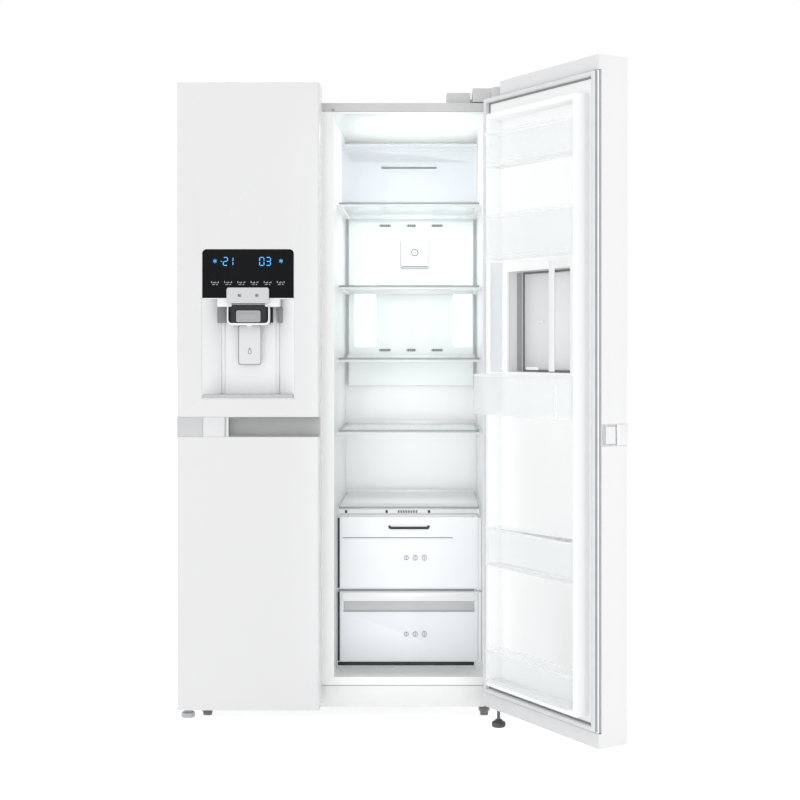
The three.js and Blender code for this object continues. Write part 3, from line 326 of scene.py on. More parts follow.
fan_plastic = finish("fan_plastic", tone(52, 53, 56), 0.55, tone(40, 41, 44), 30.0, 0.1, MOULD_GRAIN,
                     dust=(0.5, 0.3))
roller_nylon = finish("roller_nylon", tone(120, 121, 123), 0.5, tone(96, 97, 99), 60.0, 0.2,
                      (500.0, 0.2, 0.0003),
                      dust=(0.8, 0.05))
foot_plastic = finish("foot_plastic", tone(34, 35, 37), 0.55, tone(52, 52, 54), 70.0, 0.15,
                      (700.0, 0.2, 0.0002),
                      dust=(0.7, 0.03))
pale_foot_plastic = finish("pale_foot_plastic", tone(205, 206, 208), 0.5, tone(180, 181, 184), 60.0, 0.15,
                           (700.0, 0.2, 0.0002), dust=(0.5, 0.04))
gasket_rubber = finish("gasket_rubber", tone(226, 228, 229), 0.62, tone(214, 216, 218), 30.0, 0.1,
                       (400.0, 0.15, 0.0003), specular=0.3)
grip_dark = finish("grip_dark", tone(190, 190, 190), 0.4, tone(180, 181, 181), 14.0, 0.08, MOULD_GRAIN)
grip_white = finish("grip_white", tone(228, 228, 229), 0.34, tone(222, 223, 224), 12.0, 0.08, MOULD_GRAIN)
grip_pale = finish("grip_pale", tone(206, 207, 208), 0.34, tone(198, 200, 201), 12.0, 0.08, MOULD_GRAIN)
bright_plastic = finish("bright_plastic", tone(240, 241, 242), 0.3, tone(234, 236, 237), 14.0, 0.08,
                        MOULD_GRAIN,
                        coat=0.2)
recess_plastic = finish("recess_plastic", tone(248, 249, 249), 0.36, tone(244, 245, 246), 10.0, 0.08,
                        MOULD_GRAIN)
spout_plastic = finish("spout_plastic", tone(209, 211, 212), 0.34, tone(202, 204, 206), 14.0, 0.08,
                       MOULD_GRAIN)
# the nozzle's own dark plastic, also used for a painted shadow strip beside the nozzle
nozzle_plastic_and_shadow = finish("nozzle_plastic_and_shadow", tone(48, 50, 53), 0.4, tone(38, 40, 43), 20.0, 0.1, MOULD_GRAIN,
                        specular=0.3)
lever_plastic = finish("lever_plastic", tone(174, 176, 178), 0.4, tone(162, 164, 167), 18.0, 0.1,
                       MOULD_GRAIN)
tray_plastic = finish("tray_plastic", tone(196, 198, 200), 0.42, tone(184, 187, 189), 18.0, 0.1,
                      MOULD_GRAIN)
# painted shadow: a mid grey laid on the dispenser recess's side walls, where shade falls
painted_shadow_grey = finish("painted_shadow_grey", tone(158, 160, 162), 0.4, tone(120, 123, 126), 26.0, 0.1, MOULD_GRAIN)
shadow_plastic = finish("shadow_plastic", tone(40, 41, 43), 0.5, tone(30, 31, 33), 20.0, 0.1, MOULD_GRAIN)
# painted shade: a darker grey set into gaps, seams, folds and steps where shade falls
seam_shade_grey = finish("seam_shade_grey", tone(150, 153, 155), 0.5, tone(136, 139, 141), 30.0, 0.1, MOULD_GRAIN)
# dark ink for printed signs and marks, also painted shade inside the air duct's slots
ink_and_slot_shade = finish("ink_and_slot_shade", tone(120, 123, 126), 0.5, tone(110, 112, 116), 60.0, 0.1, MOULD_GRAIN)
white_ink = finish("white_ink", tone(214, 218, 222), 0.5, tone(190, 196, 202), 90.0, 0.1, MOULD_GRAIN)
display_glass = finish("display_glass", tone(9, 10, 13), 0.09, tone(16, 17, 21), 9.0, 0.05,
                       (14.0, 0.02, 0.0004),
                       specular=0.12)
digit_light = finish("digit_light", tone(86, 176, 226), 0.4, tone(60, 140, 210), 40.0, 0.1, MOULD_GRAIN,
                     glow=1.2)
lamp_glow = finish("lamp_glow", tone(252, 255, 255), 0.35, tone(246, 252, 255), 12.0, 0.05, MOULD_GRAIN,
                   glow=1.4)
column_glow = finish("column_glow", tone(246, 252, 252), 0.35, tone(240, 249, 250), 9.0, 0.08, MOULD_GRAIN,
                     glow=0.35)
shelf_glass = see_through("shelf_glass", tone(240, 246, 246), 0.08, 0.14, 0.4, (10.0, 0.01, 0.0004))
# the dark green of the glass shelves' edges, also a painted shade line under the crisper cover's band
glass_edge_and_seam_shade = finish("glass_edge_and_seam_shade", tone(142, 150, 152), 0.2, tone(128, 137, 139), 30.0, 0.05,
                    (60.0, 0.02, 0.0003))
drawer_clear = see_through("drawer_clear", tone(217, 223, 228), 0.2, 0.6, 0.85)
crisper_clear = see_through("crisper_clear", tone(241, 245, 247), 0.24, 0.75, 0.92)
# painted shade: a darker copy of the crisper's clear plastic for the lower crisper, which sits in shade
crisper_painted_shade = see_through("crisper_painted_shade", tone(235, 239, 243), 0.24, 0.8, 0.94)
frosted_glass = see_through("frosted_glass", tone(252, 254, 254), 0.2, 0.62, 0.86)
basket_clear = see_through("basket_clear", tone(236, 240, 242), 0.1, 0.14, 0.34)
rim_clear = see_through("rim_clear", tone(244, 247, 249), 0.14, 0.3, 0.6)
smoke_clear = see_through("smoke_clear", tone(224, 229, 234), 0.12, 0.4, 0.62)
bin_clear = see_through("bin_clear", tone(240, 244, 246), 0.1, 0.26, 0.46)
window_clear = see_through("window_clear", tone(253, 254, 254), 0.06, 0.03, 0.12)


# ---- mesh helpers: everything is drawn in millimetres with the doors shut
def soft_box(bm, x, y, z, edge=0.0, segments=2):
    """A box with rounded edges."""
    corners = [bm.verts.new((a, b, c)) for c in z for b in y for a in x]
    faces = [(0, 2, 3, 1), (4, 5, 7, 6), (0, 1, 5, 4), (2, 6, 7, 3), (0, 4, 6, 2), (1, 3, 7, 5)]
    made = [bm.faces.new([corners[i] for i in face]) for face in faces]
    if edge:
        edges = {e for face in made for e in face.edges}
        bmesh.ops.bevel(bm, geom=list(edges), offset=edge, segments=segments, affect="EDGES", profile=0.5)
    return bm


def rounded(a, b, radius, steps=5):
    """The outline of a rounded rectangle, as pairs."""
    points = []
    for cx, cy, start in ((a[1] - radius, b[0] + radius, -90), (a[1] - radius, b[1] - radius, 0),
                          (a[0] + radius, b[1] - radius, 90), (a[0] + radius, b[0] + radius, 180)):
        for i in range(steps + 1):
            turn = math.radians(start + 90 * i / steps)
            points.append((cx + radius * math.cos(turn), cy + radius * math.sin(turn)))
    return points


def prism(bm, outline, y, chamfer=0.0, axis="Y"):
    """An outline in X and Z carried along Y, or in X and Y carried along Z, or in Y and Z along X."""
    def point(p, depth):
        return {"Y": (p[0], depth, p[1]), "Z": (p[0], p[1], depth), "X": (depth, p[0], p[1])}[axis]
    near = [bm.verts.new(point(p, y[0])) for p in outline]
    far = [bm.verts.new(point(p, y[1])) for p in outline]
    count = len(outline)
    made = [bm.faces.new(near), bm.faces.new(list(reversed(far)))]
    rims = list(made[0].edges) + list(made[1].edges)
    for i in range(count):
        made.append(bm.faces.new([near[i], far[i], far[(i + 1) % count], near[(i + 1) % count]]))
    bmesh.ops.recalc_face_normals(bm, faces=made)
    if chamfer:
        bmesh.ops.bevel(bm, geom=rims, offset=chamfer, segments=2, affect="EDGES", profile=0.5)
    return bm


def hoop(bm, outer, inner, y, axis="Y"):
    """A flat ring between two outlines with as many points."""
    def point(p, depth):
        return {"Y": (p[0], depth, p[1]), "Z": (p[0], p[1], depth), "X": (depth, p[0], p[1])}[axis]
    rings = [[bm.verts.new(point(p, d)) for p in line] for line, d in
             ((outer, y[0]), (outer, y[1]), (inner, y[1]), (inner, y[0]))]
    count = len(outer)
    made = []
    for k in range(4):
        one, two = rings[k], rings[(k + 1) % 4]
        for i in range(count):
            j = (i + 1) % count
            made.append(bm.faces.new([one[i], two[i], two[j], one[j]]))
    bmesh.ops.recalc_face_normals(bm, faces=made)
    return bm


def turned(bm, profile, x, y, steps=32):
    """A profile of radius and height turned about an upright axis. It starts and ends on the axis."""
    rings = []
    for radius, z in profile:
        if radius < 1e-6:
            rings.append([bm.verts.new((x, y, z))])
        else:
            rings.append([bm.verts.new((x + radius * math.cos(2 * math.pi * i / steps),
                                        y + radius * math.sin(2 * math.pi * i / steps),
                                        z)) for i in range(steps)])
    made = []
    for one, two in zip(rings, rings[1:]):
        for i in range(steps):
            j = (i + 1) % steps
            quad = [one[i % len(one)], one[j % len(one)], two[j % len(two)], two[i % len(two)]]
            made.append(bm.faces.new(list(dict.fromkeys(quad))))
    bmesh.ops.recalc_face_normals(bm, faces=made)
    return bm




def settle(bm, name, material, body, replaces=(), bevel=None, smooth=True):
    """Puts a finished drawing where it stands, gives it its finish, and lets it ride on its body."""
    bm.transform(place_of(body))
    mesh = bpy.data.meshes.new(name)
    bm.to_mesh(mesh)
    bm.free()
    return dress(mesh, name, material, body, replaces, bevel, smooth)


def dress(mesh, name, material, body, replaces=(), bevel=None, smooth=True):
    mesh.name = name
    mesh.materials.clear()
    mesh.materials.append(material)
    if smooth:
        mesh.shade_smooth()
        mesh.set_sharp_from_angle(angle=math.radians(32))
    piece = bpy.data.objects.new(name, mesh)
    bpy.context.scene.collection.objects.link(piece)
    if bevel:
        rounding = piece.modifiers.new("rounding", "BEVEL")
        rounding.width = bevel * MM
        rounding.segments = 2
        rounding.limit_method = "ANGLE"
        rounding.angle_limit = math.radians(35)
        rounding.harden_normals = True
        rounding.use_clamp_overlap = True
    if material.name in CLEAR:  # light passes clear plastic and glass
        piece.visible_shadow = False
        piece.visible_diffuse = False
    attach(piece, body)
    if replaces:
        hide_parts(*replaces)
    return piece


def merged(node):
    """A CAD node's shape as one clean surface, its coplanar triangles joined into whole faces."""
    bm = bmesh.new()
    bm.from_mesh(frame["nodes"][node].data)
    bmesh.ops.remove_doubles(bm, verts=bm.verts, dist=2e-6)
    bmesh.ops.dissolve_limit(bm, angle_limit=math.radians(0.6), verts=bm.verts, edges=bm.edges)
    return bm


def carry(node, material, bevel, name=None):
    """A piece in the CAD node's own shape, with its edges rounded."""
    bm = merged(node)
    mesh = bpy.data.meshes.new(name or node)
    bm.to_mesh(mesh)
    bm.free()
    return dress(mesh, name or f"{node}_piece", material, body_of(node), (node,), bevel)


# ---- Geometry Nodes: one tree lays copies in rows, the other carries a round section along a line
def make_rows_tree():
    tree = bpy.data.node_groups.new("rows_of_copies", "GeometryNodeTree")
    face = tree.interface
    face.new_socket("Geometry", in_out="INPUT", socket_type="NodeSocketGeometry")
    face.new_socket("Count", in_out="INPUT", socket_type="NodeSocketInt")
    face.new_socket("Step", in_out="INPUT", socket_type="NodeSocketVector")
    face.new_socket("Rows", in_out="INPUT", socket_type="NodeSocketInt")
    face.new_socket("Row Step", in_out="INPUT", socket_type="NodeSocketVector")
    face.new_socket("Finish", in_out="INPUT", socket_type="NodeSocketMaterial")
    face.new_socket("Geometry", in_out="OUTPUT", socket_type="NodeSocketGeometry")
    given, out = tree.nodes.new("NodeGroupInput"), tree.nodes.new("NodeGroupOutput")
    last = given.outputs["Geometry"]
    for count, step in (("Count", "Step"), ("Rows", "Row Step")):
        line = tree.nodes.new("GeometryNodeMeshLine")
        line.mode = "OFFSET"
        tree.links.new(given.outputs[count], line.inputs["Count"])
        tree.links.new(given.outputs[step], line.inputs["Offset"])
        copies = tree.nodes.new("GeometryNodeInstanceOnPoints")
        tree.links.new(line.outputs["Mesh"], copies.inputs["Points"])
        tree.links.new(last, copies.inputs["Instance"])
        last = copies.outputs["Instances"]
    real = tree.nodes.new("GeometryNodeRealizeInstances")
    tree.links.new(last, real.inputs["Geometry"])
    coat = tree.nodes.new("GeometryNodeSetMaterial")
    tree.links.new(real.outputs["Geometry"], coat.inputs["Geometry"])
    tree.links.new(given.outputs["Finish"], coat.inputs["Material"])
    tree.links.new(coat.outputs["Geometry"], out.inputs["Geometry"])
    return tree


def make_pipe_tree():
    tree = bpy.data.node_groups.new("pipe_along_line", "GeometryNodeTree")
    face = tree.interface
    face.new_socket("Geometry", in_out="INPUT", socket_type="NodeSocketGeometry")
    face.new_socket("Radius", in_out="INPUT", socket_type="NodeSocketFloat")
    face.new_socket("Bend Radius", in_out="INPUT", socket_type="NodeSocketFloat")
    face.new_socket("Finish", in_out="INPUT", socket_type="NodeSocketMaterial")
    face.new_socket("Geometry", in_out="OUTPUT", socket_type="NodeSocketGeometry")
    given, out = tree.nodes.new("NodeGroupInput"), tree.nodes.new("NodeGroupOutput")
    line = tree.nodes.new("GeometryNodeMeshToCurve")
    bend = tree.nodes.new("GeometryNodeFilletCurve")
    bend.mode = "POLY"
    bend.inputs["Count"].default_value = 6
    section = tree.nodes.new("GeometryNodeCurvePrimitiveCircle")
    section.inputs["Resolution"].default_value = 12
    sweep = tree.nodes.new("GeometryNodeCurveToMesh")
    sweep.inputs["Fill Caps"].default_value = True
    real = tree.nodes.new("GeometryNodeRealizeInstances")
    coat = tree.nodes.new("GeometryNodeSetMaterial")
    tree.links.new(given.outputs["Geometry"], line.inputs["Mesh"])
    tree.links.new(line.outputs["Curve"], bend.inputs["Curve"])
    tree.links.new(given.outputs["Bend Radius"], bend.inputs["Radius"])
    tree.links.new(given.outputs["Radius"], section.inputs["Radius"])
    tree.links.new(bend.outputs["Curve"], sweep.inputs["Curve"])
    tree.links.new(section.outputs["Curve"], sweep.inputs["Profile Curve"])
    tree.links.new(sweep.outputs["Mesh"], real.inputs["Geometry"])
    tree.links.new(real.outputs["Geometry"], coat.inputs["Geometry"])
    tree.links.new(given.outputs["Finish"], coat.inputs["Material"])
    tree.links.new(coat.outputs["Geometry"], out.inputs["Geometry"])
    return tree


ROWS = make_rows_tree()
PIPE = make_pipe_tree()


def grow(bm, name, tree, values, material, body, smooth=True):
    """Runs a tree on a drawing and keeps the result as a plain mesh."""
    seed = bpy.data.meshes.new(f"{name}_seed")
    bm.to_mesh(seed)
    bm.free()
    source = bpy.data.objects.new(f"{name}_seed", seed)
    bpy.context.scene.collection.objects.link(source)
    maker = source.modifiers.new("maker", "NODES")
    maker.node_group = tree
    sockets = {s.name: s.identifier for s in tree.interface.items_tree if s.in_out == "INPUT"}
    for socket, value in {**values, "Finish": material}.items():
        maker[sockets[socket]] = value
    source.update_tag()
    made = source.evaluated_get(bpy.context.evaluated_depsgraph_get())
    mesh = bpy.data.meshes.new_from_object(made)
    source.modifiers.clear()
    bpy.data.objects.remove(source)
    mesh.transform(place_of(body))
    return dress(mesh, name, material, body, (), None, smooth)


def rows(bm, name, material, body, count, step, row_count=1, row_step=(0, 0, 0)):
    return grow(bm, name, ROWS, {"Count": count, "Step": step, "Rows": row_count, "Row Step": row_step},
                material, body)


def pipe(points, name, radius, bend, material, body, closed=False):
    bm = bmesh.new()
    verts = [bm.verts.new(p) for p in points]
    for one, two in zip(verts, verts[1:]):
        bm.edges.new((one, two))
    if closed:
        bm.edges.new((verts[-1], verts[0]))
    return grow(bm, name, PIPE, {"Radius": radius, "Bend Radius": bend}, material, body)


def place_box(name, material, body, x, y, z, edge=0.0, segments=2):
    settle(soft_box(bmesh.new(), x, y, z, edge, segments), name, material, body)


def screw_head(bm, x, y, z, radius=4.0, high=2.2, facing="-Y"):
    """A pan head with a cross recess, facing the front, the back or up."""
    profile = [(0, 0), (radius, 0), (radius, high * 0.45), (radius * 0.72, high), (0, high)]
    start = len(bm.verts)
    turned(bm, profile, 0, 0, 14)
    bm.verts.ensure_lookup_table()
    made = bm.verts[start:]
    for half_x, half_y in ((radius * 0.55, radius * 0.14), (radius * 0.14, radius * 0.55)):
        first = len(bm.verts)
        soft_box(bm, about(0, half_x), about(0, half_y), (high * 0.7, high + 0.12))
        bm.verts.ensure_lookup_table()
        made += bm.verts[first:]
    turn = {"-Y": Matrix.Rotation(math.pi / 2, 4, "X"), "+Y": Matrix.Rotation(-math.pi / 2, 4, "X"),
            "+Z": Matrix.Identity(4)}[facing]
    bmesh.ops.transform(bm, matrix=Matrix.Translation((x, y, z)) @ turn, verts=list(dict.fromkeys(made)))
    return bm


# ---- cabinet
def cabinet_outside():
    carry("cabinet_shell", cabinet_paint, 0.5)
    carry("front_rail", frame_paint, 0.4)
    carry("top_trim", trim_grey_and_seam_shade, 2.0)
    carry("door_switch", lever_plastic, 0.8)
    carry("base_grille", base_plastic, 0.6)
    carry("insulation", foam_core, 2.0)


def cabinet_back():
    carry("back_panel", zinc_steel, 0.35)
    carry("machine_cover", zinc_steel, 0.3)
    x, y, z = span("back_panel")
    for i, (a, b) in enumerate(((z[0] + 70, z[0] + 660), (z[1] - 700, z[1] - 90))):
        bm = soft_box(bmesh.new(), about(-300, 26), (y[1] - 0.4, y[1] + 2.2), (a, b), 2.0, 2)
        rows(bm, f"back_panel_ribs_{i + 1}", zinc_steel, "cabinet", 4, (200, 0, 0))
    bm = screw_head(bmesh.new(), x[0] + 8, y[1], z[0] + 20, facing="+Y")
    rows(bm, "back_panel_side_screws", zinc_steel, "cabinet", 2, (x[1] - x[0] - 16, 0, 0), 9,
         (0, 0, (z[1] - z[0] - 40) / 8))
    cover_x, cover_y, cover_z = span("machine_cover")
    bm = screw_head(bmesh.new(), cover_x[0] + 30, cover_y[1], cover_z[1] - 10, facing="+Y")
    rows(bm, "machine_cover_screws", zinc_steel, "cabinet", 7, ((cover_x[1] - cover_x[0] - 60) / 6, 0, 0),
         2, (0, 0, -(cover_z[1] - cover_z[0] - 20)))


def machine_room():
    carry("base_tray", zinc_steel, 0.4)
    carry("compressor", pump_enamel, 1.2)
    carry("condenser_fan", fan_plastic, 0.5)
    x, y, z = span("compressor")
    middle, back = mid(x) + 7, mid(y)
    runs = {
        "suction_pipe": [(middle - 20, back - 40, z[1] - 30), (middle - 20, back - 70, z[1] - 12),
                         (middle - 150, back - 78, z[1] - 12), (middle - 150, back - 78, z[1] + 30)],
        "discharge_pipe": [(middle + 40, back + 40, z[1] - 60), (middle + 40, back + 78, z[1] - 60),
                           (middle + 120, back + 78, z[1] - 20), (middle + 120, back - 40, z[1] - 20)],
        "filling_pipe": [(middle + 60, back + 10, z[1] - 40), (middle + 92, back + 10, z[1] - 20),
                         (middle + 92, back + 10, z[1] + 24)],
    }
    for name, points in runs.items():
        pipe(points, name, 4.0, 14.0, copper, "cabinet")


def hinges():
    for word in ("left", "right"):
        carry(f"{word}_top_hinge", hinge_steel, 0.5)
        carry(f"{word}_hinge_cover", hinge_cover_plastic, 2.2)
        carry(f"{word}_bottom_hinge", hinge_steel, 0.5)
        x, y, z = span(f"{word}_hinge_cover")
        bm = screw_head(bmesh.new(), mid(x), y[1] - 40, z[1] - 0.2, 5.0, 2.4, "+Z")
        rows(bm, f"{word}_hinge_cover_screw", hinge_steel, "cabinet", 1, (0, 0, 0))
        x, y, z = span(f"{word}_bottom_hinge")
        side = 1 if word == "right" else -1
        bm = screw_head(bmesh.new(), mid(x) - side * 14, y[1] - 4.2, z[1] - 12, 4.0, 2.0, "-Y")
        rows(bm, f"{word}_bottom_hinge_screws", hinge_steel, "cabinet", 2, (side * 26, 0, 0))


def legs_and_rollers():
    for word in ("left", "right"):
        node = f"{word}_leg"
        x, y, z = span(node)
        cx, cy, low = mid(x), mid(y), z[0]
        radius = (x[1] - x[0]) / 2
        foot = [(0, low), (radius - 2, low), (radius, low + 2), (radius, low + 12),
                (radius - 2.5, low + 14.5),
                (12.5, low + 15), (10.5, low + 16), (10, low + 20), (0, low + 20)]
        look = pale_foot_plastic if word == "left" else foot_plastic
        settle(turned(bmesh.new(), foot, cx, cy, 40), f"{word}_foot", look, node, (node,))
        stem = [(0, low + 16), (4.4, low + 16), (4.4, z[1] - 1.5), (3.4, z[1]), (0, z[1])]
        settle(turned(bmesh.new(), stem, cx, cy, 20), f"{word}_leg_stem", hinge_steel, node)
        ring = turned(bmesh.new(), [(0, low + 18), (4.2, low + 18), (5.0, low + 18.6), (4.2, low + 19.2),
                                    (0, low + 19.2)], cx, cy, 20)
        rows(ring, f"{word}_leg_threads", hinge_steel, node, 19, (0, 0, 1.75))
        grip = soft_box(bmesh.new(), about(cx, 1.0), (cy - radius - 0.35, cy - radius + 1.0),
                        (low + 2.5, low + 11.5), 0.3, 1)
        for i in range(1, 20):
            turn = Matrix.Rotation(2 * math.pi * i / 20, 4, "Z")
            one = soft_box(bmesh.new(), about(0, 1.0), (-radius - 0.35, -radius + 1.0),
                           (low + 2.5, low + 11.5), 0.3, 1)
            one.transform(Matrix.Translation((cx, cy, 0)) @ turn)
            spare = bpy.data.meshes.new("spare")
            one.to_mesh(spare)
            one.free()
            grip.from_mesh(spare)
            bpy.data.meshes.remove(spare)
        settle(grip, f"{word}_foot_ribs", look, node)
        for end in ("front", "rear"):
            carry(f"{end}_{word}_roller", roller_nylon, 1.4)


# ---- fresh food compartment
def compartment_walls():
    carry("fridge_liner", liner_plastic, 1.6)
    carry("freezer_liner", liner_plastic, 1.6)
    carry("air_duct", duct_plastic, 1.2)
    x, y, z = span("air_duct")
    front = y[0]
    centre = mid(x)
    for i, (low, high) in enumerate(((x[0] + 18, x[0] + 88), (x[1] - 66, x[1] - 4))):
        bm = prism(bmesh.new(), rounded((low, high), (z[0] + 124, z[0] + 494), 9), (front - 2.6, front + 1),
                   1.0)
        settle(bm, f"light_column_{i + 1}", column_glow, "cabinet")
        bm = soft_box(bmesh.new(), (low + 4, high - 4), (front - 3.1, front - 2.4),
                      (z[0] + 131, z[0] + 134), 0.3, 1)
        rows(bm, f"light_column_{i + 1}_ridges", column_glow, "cabinet", 1, (0, 0, 0), 60, (0, 0, 6))
    square = rounded(about(centre + 12, 45), about(z[0] + 422, 45), 6)
    settle(prism(bmesh.new(), square, (front - 9, front + 1), 1.6), "filter_cover", duct_plastic, "cabinet")
    # painted shade in the gap round the filter cover
    edge = hoop(bmesh.new(), rounded(about(centre + 12, 46.2), about(z[0] + 422, 46.2), 7),
                rounded(about(centre + 12, 44.6), about(z[0] + 422, 44.6), 5.6), (front - 2, front + 0.5))
    settle(edge, "filter_cover_gap", seam_shade_grey, "cabinet")
    place_box("filter_cover_latch_line", ink_and_slot_shade, "cabinet", about(centre + 12, 42),
              (front - 9.6, front - 8.6), about(z[0] + 382, 1.6), 0.3, 1)
    arc = bmesh.new()
    ring_outer = [(centre + 12 + 12 * math.cos(a), z[0] + 428 + 12 * math.sin(a)) for a in arc_angles(24)]
    ring_inner = [(centre + 12 + 9 * math.cos(a), z[0] + 428 + 9 * math.sin(a)) for a in arc_angles(24)]
    hoop(arc, ring_outer, ring_inner, (front - 9.5, front - 8.8))
    settle(arc, "filter_cover_ring", ink_and_slot_shade, "cabinet")
    # painted shade along the seam across the duct
    place_box("air_duct_seam", seam_shade_grey, "cabinet", (x[0] + 6, x[1] - 6),
              (front - 0.8, front + 0.5), about(z[0] + 538, 1.2), 0.3, 1)
    # painted shade: a dark box stands for the shade inside each air slot
    for k, (height, look) in enumerate(((555, seam_shade_grey), (515, ink_and_slot_shade), (114, ink_and_slot_shade))):
        for i, (offset, half) in enumerate(((-84, 18), (0, 14), (84, 18))):
            on_face = height == 555    # the top row is drawn on the face, as the duct has no slots there
            depth = (front - 0.5, front + 1) if on_face else (front + 4, front + 6)
            place_box(f"air_slot_shadow_{k + 1}_{i + 1}", look, "cabinet",
                      about(centre + offset, half - 0.4), depth, about(z[0] + height, 3.6))
            blade = soft_box(bmesh.new(), about(centre + offset - half + 3, 0.6), (front + 0.4, front + 4),
                             about(z[0] + height, 3.6))
            if on_face:
                blade.transform(Matrix.Translation((0, -1.2, 0)))
            rows(blade, f"air_slot_blades_{k + 1}_{i + 1}", duct_plastic, "cabinet", int(half * 2 / 6),
                 (6, 0, 0))


def arc_angles(count):
    return [2 * math.pi * i / count for i in range(count)]


def lamp():
    x, y, z = span("ceiling_lamp")
    lens = prism(bmesh.new(), rounded(x, y, 8), (z[0], z[1]), 2.0, "Z")
    settle(lens, "ceiling_lamp_lens", lamp_glow, "cabinet", ("ceiling_lamp",))
    ridge = soft_box(bmesh.new(), about(x[0] + 10, 1.4), (y[0] + 5, y[1] - 5), (z[0] - 0.8, z[0] + 0.5),
                     0.4, 1)
    rows(ridge, "ceiling_lamp_ridges", lamp_glow, "cabinet", int((x[1] - x[0] - 20) / 5), (5, 0, 0))
    rim = hoop(bmesh.new(), rounded(grown(x, 4), grown(y, 4), 12),
               rounded(grown(x, 0.3), grown(y, 0.3), 8.3),
               (z[1] - 3, z[1]), "Z")
    settle(rim, "ceiling_lamp_rim", liner_plastic, "cabinet")


def shelf(node):
    """A glass shelf with a ground front edge over a white front rail, and a rail behind."""
    x, y, z = span(node)
    top = z[0] + (26 if node == "crisper_cover" else 16)
    pane = soft_box(bmesh.new(), grown(x, -0.5), (y[0] + 1.5, y[1] - 2), (top - 4, top), 0.6, 2)
    look = frosted_glass if node == "crisper_cover" else shelf_glass
    settle(pane, f"{node}_pane", look, "cabinet", (node,))
    place_box(f"{node}_front_edge", glass_edge_and_seam_shade, "cabinet", grown(x, -0.3),
              (y[0] - 0.4, y[0] + 1.6), (top - 3.4, top + 1.2), 0.5, 1)
    for word, at in (("left", (x[0] + 0.2, x[0] + 2.0)), ("right", (x[1] - 2.0, x[1] - 0.2))):
        place_box(f"{node}_{word}_edge", glass_edge_and_seam_shade, "cabinet", at, (y[0] + 1, y[1] - 8),
                  (top - 0.4, top + 0.9), 0.3, 1)
    low = z[0] + (6 if node == "crisper_cover" else 5)
    rail = prism(bmesh.new(), rounded((y[0] + 0.6, y[0] + 12), (low, top - 4.4), 2.5), grown(x, -1), 0.6,
                 "X")
    settle(rail, f"{node}_front_rail", bright_plastic, "cabinet")
    back = prism(bmesh.new(), rounded((y[1] - 8, y[1]), (top - 9, top + 8), 2.5), grown(x, -1), 0.6, "X")
    settle(back, f"{node}_back_rail", bright_plastic, "cabinet")
    return x, y, top


def shelves():
    for i in range(4):
        shelf(f"shelf_{i + 1}")
    shelf("freezer_shelf")
    x, y, top = shelf("crisper_cover")
    front = y[0] + 0.6
    centre = mid(x)
    low = span("crisper_cover")[2][0] + 6
    band = prism(bmesh.new(), rounded(grown(x, -6), (low + 1, top - 6), 3), (front - 1.2, front + 1), 0.4)
    settle(band, "crisper_cover_band", grip_white, "cabinet")
    # painted shade line under the crisper cover's band
    place_box("crisper_cover_line", glass_edge_and_seam_shade, "cabinet", grown(x, -4),
              (front - 0.8, front + 0.6), (low - 1.0, low + 0.6), 0.3, 1)
    for i, at in enumerate((x[0] + 22, centre - 65, centre + 58)):
        place_box(f"crisper_cover_button_{i + 1}", shadow_plastic, "cabinet",
                  about(at, 3.4), (front - 2.6, front), about(top - 13, 4.2), 1.2, 2)
    bar = soft_box(bmesh.new(), about(centre - 30, 2.6), (front - 2.2, front), about(top - 13, 4.0), 0.8, 1)
    rows(bar, "crisper_cover_slider", ink_and_slot_shade, "cabinet", 8, (7.4, 0, 0))


